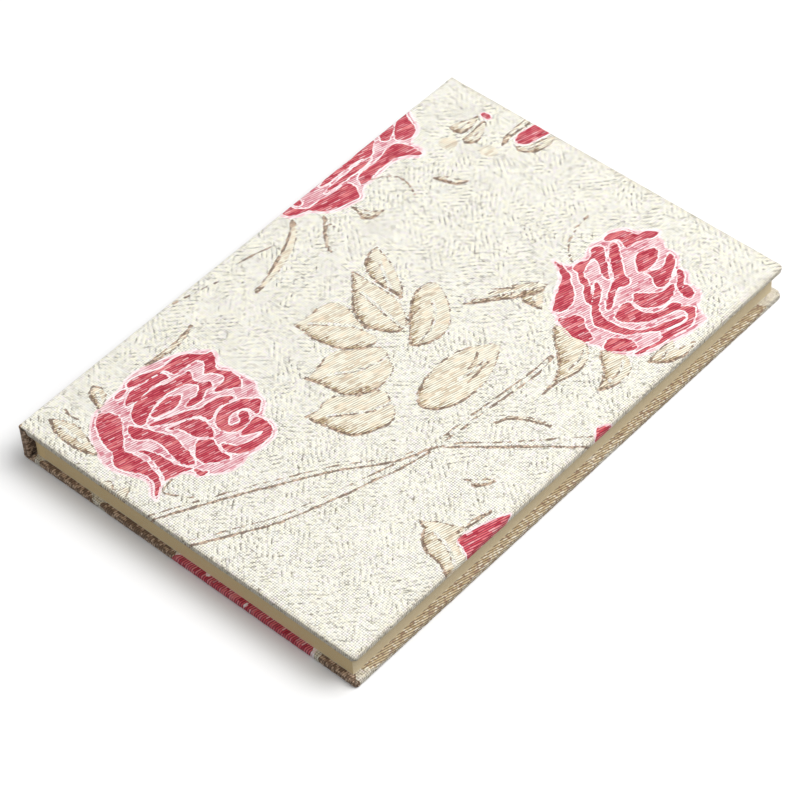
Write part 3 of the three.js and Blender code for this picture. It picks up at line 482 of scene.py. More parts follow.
def distance_to(points, line, closed):
    """How far points lie from a line in millimetres, less than nothing inside a closed one."""
    ends = np.roll(line, -1, axis=0) if closed else line[1:]
    starts = line if closed else line[:-1]
    step = ends - starts
    to = points[:, None, :] - starts[None]
    share = np.clip((to * step).sum(2) / np.maximum((step * step).sum(1), TINY), 0, 1)
    away = np.sqrt(((to - share[:, :, None] * step) ** 2).sum(2)).min(1)
    if not closed:
        return away
    crosses = (starts[None, :, 1] > points[:, None, 1]) != (ends[None, :, 1] > points[:, None, 1])
    rise = np.where(step[:, 1] == 0, TINY, step[:, 1])
    at = starts[:, 0] + (points[:, None, 1] - starts[:, 1]) / rise * step[:, 0]
    inside = (crosses & (points[:, None, 0] < at)).sum(1) % 2 == 1
    return np.where(inside, -away, away)


def weave_figures(cut):
    """For each point of the flat cloth, how far it lies outside each kind of figure, in millimetres.
    "under" is the depth inside a leaf as counted from the side where its shadow is woven."""
    depth = {name: np.full(len(cut), FAR_AWAY) for name in FIGURES}

    def near(line):
        low, high = line.min(0) - FIGURE_REACH, line.max(0) + FIGURE_REACH
        return np.flatnonzero(((cut >= low) & (cut <= high)).all(1))

    def lay(name, which, distance):
        depth[name][which] = np.minimum(depth[name][which], distance)

    def lay_outline(name, points, shift=(0, 0), closed=True, half_width=0.0, end_x=-np.inf):
        line = smooth_line(points, closed) + shift
        which = near(line)
        which = which[cut[which, 0] > end_x]
        if len(which):
            lay(name, which, distance_to(cut[which], line, closed) - half_width)

    def lay_leaf(outline, rib, filled):
        which = near(outline)
        if not len(which):
            return
        here = cut[which]
        inside = distance_to(here, outline, closed=True)
        below = distance_to(here - (0, 1), outline, closed=True)
        above = distance_to(here + (0, 1), outline, closed=True)
        low_side = np.clip((below - above) * LOW_SIDE[0] + LOW_SIDE[1], 0, 1)
        lay("brown", which, np.abs(inside) - BROWN_EDGE[0] - (BROWN_EDGE[1] - BROWN_EDGE[0]) * low_side)
        if rib is not None:
            from_rib = distance_to(here, rib, closed=False)
            lay("leaf", which, np.maximum(inside, MIDRIB_HALF - from_rib))
            under_rib = distance_to(here + (0, MIDRIB_SHADE_DROP), rib, closed=False)
            lay("brown", which, np.maximum(under_rib - MIDRIB_SHADE_HALF, inside))
            lay("under", which, np.where(inside < 0, -inside + LIT_SIDE_DEPTH * (1 - low_side), FAR_AWAY))
        elif filled:
            lay("leaf", which, inside)

    shifts = [(0, 0)] + [(-REPEAT_LEFT, -REPEAT_DOWN + turn * REPEAT_HIGH) for turn in (0, 1)]
    for shift in shifts:
        for name, outlines in (("red", RED_PETALS), ("rose", ROSES)):
            for points in outlines:
                lay_outline(name, points, shift, end_x=LAST_ROSE_X)
        for points, rib in LEAVES:
            lay_leaf(smooth_line(points, closed=True) + shift, smooth_line(rib, closed=False) + shift, True)
        for blade in BLADES:
            lay_leaf(stem_outline(*blade) + shift, None, True)
        for stem in STEMS:
            lay_leaf(stem_outline(*stem) + shift, None, False)
        for points in BROWN_LINES:
            lay_outline("brown", points, shift, closed=False, half_width=BROWN_LINE_HALF)
        for points in FAINT_LEAVES:
            lay_outline("leaf", points, shift)
    # solid red petals on the back cover's tail edge, partly painted shade
    for points in SHADED_TAIL_PETALS:
        lay_outline("red", points)
    # leaves darkened partly as painted shade: filled with shadow floats, and brown as well at the tail
    for points in DARK_AND_SHADED_LEAVES:
        line = smooth_line(points, closed=True)
        which = near(line)
        if len(which):
            inside = distance_to(cut[which], line, closed=True)
            lay("leaf", which, inside)
            lay("under", which, np.where(inside < 0, SHADED_LEAF_DEPTH, FAR_AWAY))
            if line[:, 1].max() < SHADED_TAIL_LEAVES_BELOW:
                lay("brown", which, inside + SHADED_BROWN_INSET)
    return depth


# The cover cloth as a finish: a cotton brocade with a cream ground of short raised ribs that change
# direction from patch to patch. The figures are floats of red, rose, beige and brown weft. A list of
# yarns gives the share of the stitches from which each shade is used.
YARN = 0.8
FLOAT = 0.84
FLOAT_RUN = 2.3
FLOAT_STAGGER = 9
FLOAT_LEAN = math.radians(16)
FLOAT_RELIEF = 0.5
RAGGED = 0.5
RIB = 1.7
RIB_PATCH = 6.5
RIB_RUN = 5.2
RIB_WANDER = 3.2
WANDER_SCALE = 0.35
LEAST_SLANT, SLANT_SPREAD = 0.6, 0.4
WHITE_LINE = 0.62
RED_GROWN = 0.12
ROSE_INSET = 0.2
LEAST_SHADOW, SHADOW_REACH = 0.2, 3.2
CLOTH_RELIEF = 0.15
YARN_RELIEF = 0.3
FIGURE_RAISED = 0.3
SHEEN = 0.1
SHEEN_SPREAD = 0.6
CREAM_YARNS = [(0, (252, 250, 238)), (0.36, (254, 252, 232)), (0.54, (248, 248, 240)),
               (0.70, (250, 244, 242)), (0.82, (249, 247, 234)), (0.94, (224, 219, 206))]
WHITE_YARNS = [(0, (254, 246, 245)), (0.5, (250, 232, 233)), (0.8, (240, 206, 210))]
RED_YARNS = [(0, (216, 88, 102)), (0.32, (226, 112, 122)), (0.56, (234, 138, 146)), (0.76, (198, 62, 80)),
             (0.92, (246, 180, 184))]
BLUSH_YARNS = [(0, (242, 196, 202)), (0.4, (234, 172, 180)), (0.7, (251, 226, 228)),
               (0.88, (214, 118, 132))]
BEIGE_YARNS = [(0, (250, 246, 228)), (0.44, (253, 249, 232)), (0.66, (246, 236, 214)),
               (0.88, (230, 216, 192))]
GOLD_YARNS = [(0, (206, 186, 146)), (0.36, (186, 162, 120)), (0.62, (236, 226, 204)),
              (0.84, (150, 114, 86))]
BROWN_YARNS = [(0, (110, 84, 68)), (0.46, (208, 178, 152)), (0.8, (150, 122, 102))]
WHITE_GAP, RED_GAP, BLUSH_GAP = (226, 170, 176), (118, 24, 42), (168, 70, 90)
BEIGE_GAP, SHADOW_GAP, BROWN_GAP = (132, 116, 92), (98, 76, 58), (84, 62, 50)
DEEP_RED, CORAL, PEACH, DRAB = (158, 26, 50), (244, 156, 152), (250, 228, 200), (176, 152, 126)
# The grey of the grooves between the ribs is painted shade.
RIB_CREAM, GROOVE_SHADE_GREY, HOLE_GREY = (254, 250, 226), (120, 114, 94), (70, 66, 52)
# The beige of the cloth's edges is partly wear and partly painted shade.
WORN_AND_SHADED_BEIGE, FAINT_LILAC, PICK_GREY = (186, 166, 132), (240, 228, 232), (120, 114, 96)
# Soft edges: the value where each begins and the value where it is full. Two more numbers are its
# least and its greatest share.
HOLE_EDGE, GAP_EDGE, PICK_EDGE, SHADOW_EDGE = (0.35, 0.1), (0.72, 0.34), (0.30, 0.16), (0.3, -0.3)
RIB_EDGE, GROOVE_SHADE_EDGE, RIB_END_EDGE = (-0.3, 0.5), (-0.55, -0.85), (0.2, 0.5)
RIBBED_PATCHES, RIBBED_CLOUDS = (0.1, 0.6, 0.3, 1.0), (0.38, 0.56, 0.3, 1.0)
HOLE_CLOUDS, BLUSH_CLOUDS = (0.36, 0.64, 0.6, 0.9), (0.42, 0.64, 0.0, 0.5)
GROOVE_SHADE_CHANCE = (0.2, 0.85, 0.0, 0.9)
# How much of a colour is laid over the one below it
RIB_SHARE, WORN_AND_SHADED_SHARE, LILAC_SHARE = 0.5, 0.35, 0.1
PICK_SHARE, SHADOW_SHARE, BROWN_SHARE = 0.75, 0.85, 0.85
WORN_AND_SHADED_HOLES, RIB_HOLES, LEAST_HOLE, HOLE_SPREAD = 0.5, -0.55, 0.3, 0.8
LEAST_BEIGE_GAP, BEIGE_GAP_SPREAD = 0.3, 0.65
# Single darker yarns: their angle, length and pitch in millimetres, and how many of them are dark
PICKS = ((0.04, 8, 1.1, 0.06), (-0.9, 6, 1.1, 0.07), (0.85, 6, 1.1, 0.05))
PICK_SCATTER = 0.8
# Streaks along the floats: their width and length in millimetres, the two ends of their soft edge,
# their draw and their greatest share
DEEP_STREAKS, CORAL_STREAKS = (1.2, 8.0, 0.54, 0.64, 3.0, 0.6), (1.6, 9.0, 0.55, 0.65, 31.0, 0.45)
PEACH_STREAKS, DRAB_STREAKS = (3.5, 5.0, 0.54, 0.68, 11.0, 0.4), (1.2, 7.0, 0.57, 0.66, 17.0, 0.5)
SHADOW_STREAKS = (0.9, 30.0, 0.42, 0.62, 23.0)


def paint(red, green, blue):
    """A colour written as on a screen, 0 to 255, as the renderer's own."""
    channels = [c / 255 for c in (red, green, blue)]
    return tuple(c / 12.92 if c <= 0.04045 else ((c + 0.055) / 1.055) ** 2.4 for c in channels) + (1,)


def calc(tree, operation, *values):
    """One step of arithmetic on sockets or numbers."""
    return add_node(tree, "ShaderNodeMath", dict(enumerate(values)), operation=operation).outputs[0]


def over(tree, share, under, upper):
    """Lays one colour over another by a share from 0 to 1."""
    return add_node(tree, "ShaderNodeMix", {0: share, 6: under, 7: upper}, data_type="RGBA").outputs[2]


def clouds(tree, place, scale, detail, **more):
    """Soft random values from 0 to 1 that change from place to place."""
    inputs = {"Vector": place, "Scale": scale, "Detail": detail, **more}
    return add_node(tree, "ShaderNodeTexNoise", inputs).outputs["Fac"]


def dress(tree, bsdf, colour, height, strength, depth):
    """Gives a finish its colour and its fine relief, whose depth is in millimetres."""
    tree.links.new(colour, bsdf.inputs["Base Color"])
    bump = add_node(tree, "ShaderNodeBump", {"Strength": strength, "Distance": depth * MM, "Height": height})
    tree.links.new(bump.outputs[0], bsdf.inputs["Normal"])


brocade, weave, brocade_bsdf = new_finish("rose_brocade", roughness=0.88, specular=0.18)
brocade_bsdf.inputs["Sheen Weight"].default_value = SHEEN
brocade_bsdf.inputs["Sheen Roughness"].default_value = SHEEN_SPREAD
cut_place = add_node(weave, "ShaderNodeAttribute", attribute_name="cut").outputs["Vector"]


def times(a, b):
    """Two values of the brocade multiplied."""
    return calc(weave, "MULTIPLY", a, b)


def times_plus(a, b, c):
    """The first two of three values of the brocade multiplied, and the third added."""
    return calc(weave, "MULTIPLY_ADD", a, b, c)


def random_parts(drawn):
    """Three random values from the colour that a node draws."""
    return add_node(weave, "ShaderNodeSeparateColor", {0: drawn.outputs["Color"]}).outputs


def tinted(colour, share, other):
    """A colour of the brocade with a share of another one, written as on a screen, laid over it."""
    return over(weave, share, colour, paint(*other))


def measured(name):
    """The value that each point of the cloth carries under a name."""
    return add_node(weave, "ShaderNodeAttribute", attribute_name=name).outputs["Fac"]


def turned_place(angle):
    """The cloth's two directions, turned by an angle."""
    turned = add_node(weave, "ShaderNodeVectorRotate", {"Vector": cut_place, "Angle": angle},
                      rotation_type="Z_AXIS")
    return add_node(weave, "ShaderNodeSeparateXYZ", {0: turned.outputs[0]}).outputs


def wave(place, length):
    """0 at each gap between two yarns and 1 on a yarn's middle."""
    return calc(weave, "ABSOLUTE", calc(weave, "SINE", times(place, math.pi / length)))


def stretch(value, low, high, to_low=0.0, to_high=1.0):
    """A value brought from one range to another, and held inside it."""
    return add_node(weave, "ShaderNodeMapRange", {
        "Value": value, "From Min": low, "From Max": high, "To Min": to_low, "To Max": to_high}).outputs[0]


def soft_noise(scale, seed=0.0):
    """Soft random values over the cloth, of another draw for each seed."""
    moved = add_node(weave, "ShaderNodeVectorMath", {0: cut_place, 1: (seed, seed, 0)}, operation="ADD")
    return clouds(weave, moved.outputs[0], scale, detail=2)


def row_chance(row):
    """A random value for each whole number."""
    return add_node(weave, "ShaderNodeTexWhiteNoise", {"W": row}, noise_dimensions="1D").outputs["Value"]


def cell_chances(cell):
    """Three random values for each cell of the weave."""
    return random_parts(add_node(weave, "ShaderNodeTexWhiteNoise", {"Vector": cell}, noise_dimensions="2D"))


def yarns(chance, shades):
    """Picks one of several yarn colours for each stitch."""
    ramp = add_node(weave, "ShaderNodeValToRGB", {"Fac": chance})
    ramp.color_ramp.interpolation = "CONSTANT"
    while len(ramp.color_ramp.elements) < len(shades):
        ramp.color_ramp.elements.new(0.5)
    for element, (start, colour) in zip(ramp.color_ramp.elements, shades):
        element.position = start
        element.color = paint(*colour)
    return ramp.outputs["Color"]


# the plain weave, square, with random values for each crossing
square = turned_place(0.0)
woven = times(wave(square["Y"], YARN), wave(square["X"], YARN))
crossing = add_node(weave, "ShaderNodeVectorMath", {0: cut_place, 1: (YARN, YARN, 1)}, operation="SNAP")
chance, second_chance = cell_chances(crossing.outputs[0])[:2]
hole = stretch(woven, *HOLE_EDGE)

# the floats of the figures: long stitches beside each other, each of its own shade
leaned = turned_place(FLOAT_LEAN)
float_row = calc(weave, "FLOOR", calc(weave, "DIVIDE", leaned["X"], FLOAT))
row_start = times(row_chance(float_row), FLOAT_STAGGER)
float_start = calc(weave, "FLOOR", times_plus(leaned["Y"], 1 / FLOAT_RUN, row_start))
float_cell = add_node(weave, "ShaderNodeCombineXYZ", {"X": float_row, "Y": float_start})
float_chance, second_float = cell_chances(float_cell.outputs[0])[:2]
float_top = wave(leaned["X"], FLOAT)
float_gap = stretch(float_top, *GAP_EDGE)
ragged = times(calc(weave, "SUBTRACT", float_chance, 0.5), RAGGED)


def figure(name, grown=0.0):
    """1 inside a kind of figure and 0 outside, with its edge stepped from stitch to stitch."""
    return calc(weave, "LESS_THAN", calc(weave, "ADD", measured(name), ragged), grown)


def floats(chance, shades, gap_colour, gap_share):
    """Stitches in the shades of one colour, with darker gaps between their rows."""
    return tinted(yarns(chance, shades), times(float_gap, gap_share), gap_colour)


def streaks(across, down, start, end, seed, amount=1.0):
    """Soft marks that run with the floats: 0 to amount. across and down are their size in millimetres."""
    spread = add_node(weave, "ShaderNodeCombineXYZ", {
        "X": calc(weave, "DIVIDE", leaned["X"], across), "Y": calc(weave, "DIVIDE", leaned["Y"], down),
        "Z": seed})
    return stretch(clouds(weave, spread.outputs[0], scale=1, detail=2), start, end, 0.0, amount)


def picks(angle, length, pitch, share):
    """Single darker yarns of the weave, lying at an angle."""
    place = turned_place(angle)
    spread = add_node(weave, "ShaderNodeCombineXYZ", {
        "X": calc(weave, "DIVIDE", place["X"], length), "Y": calc(weave, "DIVIDE", place["Y"], pitch)})
    cells = add_node(weave, "ShaderNodeTexVoronoi", {
        "Vector": spread.outputs[0], "Scale": 1, "Randomness": PICK_SCATTER}, voronoi_dimensions="2D")
    dark = calc(weave, "LESS_THAN", random_parts(cells)[0], share)
    return times(stretch(cells.outputs["Distance"], *PICK_EDGE), dark)


# the ground's ribs: each patch of the cloth has its own slant
wander = add_node(weave, "ShaderNodeTexNoise", {"Vector": cut_place, "Scale": WANDER_SCALE, "Detail": 1})
wandering = add_node(weave, "ShaderNodeVectorMath", {
    0: wander.outputs["Color"], 1: (RIB_WANDER, RIB_WANDER, 0), 2: cut_place}, operation="MULTIPLY_ADD")
patches = add_node(weave, "ShaderNodeTexVoronoi", {
    "Vector": wandering.outputs[0], "Scale": 1 / RIB_PATCH, "Randomness": 1}, voronoi_dimensions="2D")
patch = random_parts(patches)
slant = times(calc(weave, "FLOOR", times(patch[0], 2)), math.pi / 2)
slant = calc(weave, "ADD", slant, times_plus(patch[1], SLANT_SPREAD, LEAST_SLANT))
ribs = turned_place(slant)
rib_wave = calc(weave, "SINE", times(ribs["X"], 2 * math.pi / RIB))
rib_index = calc(weave, "FLOOR", calc(weave, "DIVIDE", ribs["X"], RIB))
rib_ends = wave(times_plus(row_chance(rib_index), RIB_RUN, ribs["Y"]), RIB_RUN)
patch_share = stretch(patch[2], *RIBBED_PATCHES)
rib_share = times(patch_share, stretch(soft_noise(0.5, seed=7.0), *RIBBED_CLOUDS))
ribbed = times(stretch(rib_ends, *RIB_END_EDGE), rib_share)
rib_height = times(stretch(rib_wave, *RIB_EDGE), ribbed)
# painted shade: the grooves at the foot of each rib are greyed as if shaded
groove_shade = times(stretch(rib_wave, *GROOVE_SHADE_EDGE), ribbed)

# the ground: ribs with painted shade in the grooves beside them, the small dark holes between the
# yarns, wear and painted shade round the edges, and stray darker yarns
# the cloth's edges: more dark holes and a beige tint, partly wear and partly painted shade
edge_wear_and_shade = measured("edge_wear_and_shade")
hole_share = times_plus(edge_wear_and_shade, WORN_AND_SHADED_HOLES, stretch(soft_noise(0.1), *HOLE_CLOUDS))
hole_share = times(hole_share, times_plus(second_chance, HOLE_SPREAD, LEAST_HOLE))
hole_share = times(hole_share, times_plus(rib_height, RIB_HOLES, 1))
ground = tinted(yarns(chance, CREAM_YARNS), times(rib_height, RIB_SHARE), RIB_CREAM)
ground = tinted(ground, times(groove_shade, stretch(second_chance, *GROOVE_SHADE_CHANCE)), GROOVE_SHADE_GREY)
ground = tinted(ground, times(hole, hole_share), HOLE_GREY)
ground = tinted(ground, times(edge_wear_and_shade, WORN_AND_SHADED_SHARE), WORN_AND_SHADED_BEIGE)
ground = tinted(ground, times(soft_noise(0.06, seed=40.0), LILAC_SHARE), FAINT_LILAC)
for pick in PICKS:
    ground = tinted(ground, times(picks(*pick), times(chance, PICK_SHARE)), PICK_GREY)

# the figures, each laid over what is woven below it
white_line = floats(float_chance, WHITE_YARNS, WHITE_GAP, gap_share=0.35)
red_floats = floats(float_chance, RED_YARNS, RED_GAP, gap_share=0.95)
red_floats = tinted(red_floats, streaks(*DEEP_STREAKS), DEEP_RED)
red_floats = tinted(red_floats, streaks(*CORAL_STREAKS), CORAL)
blush_floats = floats(float_chance, BLUSH_YARNS, BLUSH_GAP, gap_share=0.9)
blush_floats = over(weave, stretch(soft_noise(0.16), *BLUSH_CLOUDS), blush_floats, white_line)
beige_gap = times_plus(second_float, BEIGE_GAP_SPREAD, LEAST_BEIGE_GAP)
beige_floats = floats(float_chance, BEIGE_YARNS, BEIGE_GAP, beige_gap)
beige_floats = tinted(beige_floats, streaks(*PEACH_STREAKS), PEACH)
beige_floats = tinted(beige_floats, streaks(*DRAB_STREAKS), DRAB)
shadow_floats = floats(chance, GOLD_YARNS, SHADOW_GAP, gap_share=1)
brown_floats = floats(chance, BROWN_YARNS, BROWN_GAP, gap_share=0.6)

is_red, is_leaf, in_rose = figure("red", RED_GROWN), figure("leaf"), figure("rose", -ROSE_INSET)
near_red = figure("red", RED_GROWN + WHITE_LINE)
is_white = calc(weave, "MAXIMUM", near_red, figure("rose", WHITE_LINE))
is_blush = calc(weave, "GREATER_THAN", in_rose, near_red)
shadow_reach = times_plus(streaks(*SHADOW_STREAKS), SHADOW_REACH, LEAST_SHADOW)
in_shadow = stretch(calc(weave, "SUBTRACT", measured("under"), shadow_reach), *SHADOW_EDGE)
colour = ground
for share, stitches in ((is_white, white_line), (is_leaf, beige_floats),
                        (times(times(in_shadow, is_leaf), SHADOW_SHARE), shadow_floats),
                        (times(figure("brown"), BROWN_SHARE), brown_floats),
                        (is_blush, blush_floats), (is_red, red_floats)):
    colour = over(weave, share, colour, stitches)
flat_height = times_plus(woven, YARN_RELIEF, rib_height)
figured = calc(weave, "MAXIMUM", is_white, is_leaf)
float_height = times(float_top, FLOAT_RELIEF)
height = add_node(weave, "ShaderNodeMix", {0: figured, 2: flat_height, 3: float_height}).outputs[0]
height = times_plus(calc(weave, "MAXIMUM", is_red, is_leaf), FIGURE_RAISED, height)
dress(weave, brocade_bsdf, colour, height, strength=1, depth=CLOTH_RELIEF)

# The cloth of the front and back covers. Each is cut flat with its fore corners taken off, glued over
# a board, turned in 15 mm over the three outer edges and mitred at the corners. At the joint it goes
# on to the spine.
HALF_WIDTH = 74
HALF_HEIGHT = 107
THICKNESS = 15.6
COVER = 2.7
EDGE_ROUND = 0.6
CORNER_ROUND = 1.3
JOINT_ROLL = 1
TURN_IN = 15
DOUBLE_CLOTH = 0.7
BOARD_X = -70.45
BOARD_RAMP = (-0.7, 0.9)
ROLL_X = -HALF_WIDTH + JOINT_ROLL
ROLL_FLAT = 0.6
FINE = 0.62
ROUND_STEPS = 4
TURN_IN_STEPS = 7
FUZZ = 0.1
FUZZ_SIZE = 1.2
FUZZ_START = 3
FUZZ_DRAWS = {True: 3.7, False: 9.2}
# How far in from the edges the wear and the painted edge shade reach, in millimetres
WEAR_AND_SHADE_REACH = 1.5
WEAR_AND_SHADE_RUN = 3.0
CUT_TOUCH = 1e-5
QUARTER = math.pi / 2
EDGE_RUN = math.pi * EDGE_ROUND + COVER - 2 * EDGE_ROUND
FLAT_X = HALF_WIDTH - EDGE_ROUND
FLAT_Y = HALF_HEIGHT - EDGE_ROUND


def held(value):
    """A value kept between 0 and 1."""
    return min(max(value, 0), 1)


def round_edge(run, thick):
    """Where cloth lies that goes run millimetres past the flat face: how far out, and how far down."""
    radius = min(EDGE_ROUND, thick / 2)
    lead = EDGE_ROUND - radius
    if run <= lead:
        return run, 0.0
    run -= lead
    quarter = QUARTER * radius
    if run < quarter:
        return lead + radius * math.sin(run / radius), radius * (1 - math.cos(run / radius))
    run -= quarter
    wall = thick - 2 * radius
    if run < wall:
        return EDGE_ROUND, radius + run
    run -= wall
    if run < quarter:
        return lead + radius * math.cos(run / radius), radius + wall + radius * math.sin(run / radius)
    return lead - (run - quarter), thick


def past_end(v, thick):
    """Cloth near the head or the tail of a board: its own y, and how far it has gone round the edge."""
    out, drop = round_edge(max(abs(v) - FLAT_Y, 0), thick)
    return (math.copysign(FLAT_Y + out, v) if abs(v) > FLAT_Y else v), drop


def wrap_cover(u, v):
    """Takes a point of the flat cloth to its place round a board: x, y and the drop below the face."""
    corner_x, corner_y = u - (HALF_WIDTH - CORNER_ROUND), abs(v) - (HALF_HEIGHT - CORNER_ROUND)
    if corner_x > 0 and corner_y > 0:
        longer = max(corner_x, corner_y)
        lean = min(corner_x, corner_y) / longer
        angle = lean * math.pi / 4
        if corner_y > corner_x:
            angle = QUARTER - angle
        radius, drop = longer, 0.0
        inner = CORNER_ROUND - EDGE_ROUND
        if longer > inner:
            full = EDGE_RUN + inner
            run = (longer - inner) * full / ((full + inner) / (1 + lean) - inner)
            out, drop = round_edge(run, COVER)
            radius = inner + out
        x = HALF_WIDTH - CORNER_ROUND + radius * math.cos(angle)
        return x, math.copysign(HALF_HEIGHT - CORNER_ROUND + radius * math.sin(angle), v), drop
    if u > FLAT_X:
        out, drop = round_edge(u - FLAT_X, COVER)
        return FLAT_X + out, v, drop
    if abs(v) > FLAT_Y:
        board = held((u - BOARD_X - BOARD_RAMP[0]) / BOARD_RAMP[1])
        return u, *past_end(v, DOUBLE_CLOTH + (COVER - DOUBLE_CLOTH) * board)
    return u, v, 0.0


def cut_lines(start, end, ends_turned):
    """The flat cloth's grid lines along one direction: fine on the face, closer still round an edge."""
    quarter = QUARTER * EDGE_ROUND
    turned_lines = [quarter * k / ROUND_STEPS for k in range(1, ROUND_STEPS + 1)]
    wall_end = quarter + COVER - 2 * EDGE_ROUND
    turned_lines += [wall_end + quarter * k / ROUND_STEPS for k in range(ROUND_STEPS + 1)]
    turned_in = TURN_IN - EDGE_ROUND
    turned_lines += [EDGE_RUN + turned_in * k / TURN_IN_STEPS for k in range(1, TURN_IN_STEPS + 1)]
    lines = list(np.linspace(start, end, round((end - start) / FINE) + 1))
    lines += [end + past for past in turned_lines]
    if ends_turned == 2:
        lines = [start - past for past in reversed(turned_lines)] + lines
    return np.array(lines)


def cloth_grid(columns, rows):
    """A grid of cloth, with the column and the row of the flat cloth for each of its points."""
    bm = bmesh.new()
    bmesh.ops.create_grid(bm, x_segments=len(columns) - 1, y_segments=len(rows) - 1, size=0.5)
    places = [(columns[round((vert.co.x + 0.5) * (len(columns) - 1))],
               rows[round((vert.co.y + 0.5) * (len(rows) - 1))]) for vert in bm.verts]
    return bm, places


def wear_and_edge_shade(u, v):
    """How rubbed the cloth is, with painted shade as well: both are strongest round its edges."""
    return held((max(u - FLAT_X, abs(v) - FLAT_Y) + WEAR_AND_SHADE_REACH) / WEAR_AND_SHADE_RUN)


def finish_cloth(piece, flat_cut, in_cloth):
    """Gives a cloth piece its woven figures, its rubbed and painted-shaded edges, its place in the whole
    cloth and its material.
    """
    values = weave_figures(in_cloth)
    values["edge_wear_and_shade"] = np.array([wear_and_edge_shade(u, v) for u, v in flat_cut])
    for name, value in values.items():
        layer = piece.data.attributes.new(name, "FLOAT", "POINT")
        layer.data.foreach_set("value", value.astype(np.float32))
    places = np.pad(in_cloth, ((0, 0), (0, 1))).astype(np.float32)
    piece.data.attributes.new("cut", "FLOAT_VECTOR", "POINT").data.foreach_set("vector", places.ravel())
    for face in piece.data.polygons:
        face.use_smooth = True
    piece.data.materials.append(brocade)


def cover_cloth(name, upper):
    """The cloth of one cover, folded round its board. The back one is the front one turned over."""
    columns = cut_lines(ROLL_X + ROLL_FLAT, FLAT_X, ends_turned=1)
    rows = cut_lines(-FLAT_Y, FLAT_Y, ends_turned=2)
    bm, places = cloth_grid(columns, rows)
    for vert, (u, v) in zip(bm.verts, places):
        vert.co.x, vert.co.y = u, v
    across_corner = HALF_WIDTH + HALF_HEIGHT + EDGE_RUN - 2 * EDGE_ROUND
    for side in (-1, 1):
        everything = list(bm.verts) + list(bm.edges) + list(bm.faces)
        bmesh.ops.bisect_plane(bm, geom=everything, dist=CUT_TOUCH, plane_co=(across_corner, 0, 0),
                               plane_no=(1, side, 0), clear_outer=True)
    flat_cut = np.array([(vert.co.x, vert.co.y) for vert in bm.verts])
    for vert in bm.verts:
        x, y, drop = wrap_cover(vert.co.x, vert.co.y)
        vert.co = Vector((x, y, THICKNESS - drop if upper else drop)) * MM
    if not upper:
        bmesh.ops.reverse_faces(bm, faces=bm.faces)
    bm.normal_update()
    for vert, (u, v) in zip(bm.verts, flat_cut):
        uneven = noise.noise(Vector((u, v, FUZZ_DRAWS[upper])) / FUZZ_SIZE)
        vert.co += vert.normal * (FUZZ * MM * held((u - BOARD_X) / FUZZ_START) * uneven)
        vert.co.z = max(vert.co.z, 0)
    piece = new_piece(name, bm)
    in_cloth = flat_cut
    if not upper:
        in_cloth = np.stack([-2 * HALF_WIDTH - THICKNESS - flat_cut[:, 0], flat_cut[:, 1]], 1)
    finish_cloth(piece, flat_cut, in_cloth)
    return piece


for name, body, board, node, upper in (
        ("front_cloth", "front_cover", "front_board", "front_cover_cloth", True),
        ("back_cloth", "back_cover", "back_board", "back_cover_cloth", False)):
    piece = cover_cloth(name, upper)
    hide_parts(node)
    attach(piece, body)

# The spine's cloth: the middle of the same sheet, glued to the spine board and turned in over its
# head and tail. Two narrow strips of it bend at the joints, from the spine to each cover.
SPINE_LOW = JOINT_ROLL
SPINE_HIGH = THICKNESS - JOINT_ROLL
SPINE_COLUMNS = 22
JOINT_ROWS = 343
JOINT_END_STEPS = 6
JOINT_TURN_IN = 3
ROLL_STEPS = 8
ROLL_RUN = QUARTER * JOINT_ROLL


def cloth_strip(name, columns, rows, wrap):
    """A narrow piece of the cloth, cut flat and wrapped. wrap gives a point's place and its place
    in the whole sheet."""
    bm, places = cloth_grid(columns, rows)
    wrapped = [wrap(w, v) for w, v in places]
    for vert, (place, u, v) in zip(bm.verts, wrapped):
        vert.co = Vector(place) * MM
    piece = new_piece(name, bm)
    finish_cloth(piece, [(0, v) for place, u, v in wrapped], np.array([(u, v) for place, u, v in wrapped]))
    return piece


def wrap_spine(w, v):
    """w runs up the spine from the back joint, v from tail to head."""
    y, drop = past_end(v, COVER)
    return (-HALF_WIDTH + drop, y, w), -HALF_WIDTH - THICKNESS + w, v


def wrap_joint(w, v, upper):
    """w runs from the cover's face round the roll on to the spine, v from tail to head."""
    y, drop = past_end(v, DOUBLE_CLOTH)
    angle = min(max(w, 0), ROLL_RUN) / JOINT_ROLL
    radius = JOINT_ROLL - drop
    x = ROLL_X - radius * math.sin(angle) - min(w, 0)
    z = JOINT_ROLL - radius * math.cos(angle) + max(w - ROLL_RUN, 0)
    if upper:
        return (x, y, THICKNESS - z), ROLL_X - w, v
    return (x, y, z), -2 * HALF_WIDTH - THICKNESS - ROLL_X + w, v


spine_rows = cut_lines(-FLAT_Y, FLAT_Y, ends_turned=2)
spine_columns = np.linspace(SPINE_HIGH - ROLL_FLAT, SPINE_LOW + ROLL_FLAT, SPINE_COLUMNS)
spine_piece = cloth_strip("spine_cloth_wrap", spine_columns, spine_rows, wrap_spine)
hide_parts("spine_cloth")
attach(spine_piece, "spine")
roll_columns = np.linspace(0, ROLL_RUN, ROLL_STEPS + 1)
joint_columns = np.concatenate([[-ROLL_FLAT], roll_columns, [ROLL_RUN + ROLL_FLAT]])
joint_ends = [FLAT_Y + EDGE_ROUND - DOUBLE_CLOTH / 2 + QUARTER * DOUBLE_CLOTH * k / JOINT_END_STEPS
              for k in range(JOINT_END_STEPS + 1)]
joint_ends.append(joint_ends[-1] + JOINT_TURN_IN)
joint_rows = list(np.linspace(-FLAT_Y, FLAT_Y, JOINT_ROWS))
joint_rows = [-row for row in reversed(joint_ends)] + joint_rows + joint_ends
lower_joint = cloth_strip("back_joint_cloth", joint_columns[::-1], joint_rows,
                          lambda w, v: wrap_joint(w, v, False))
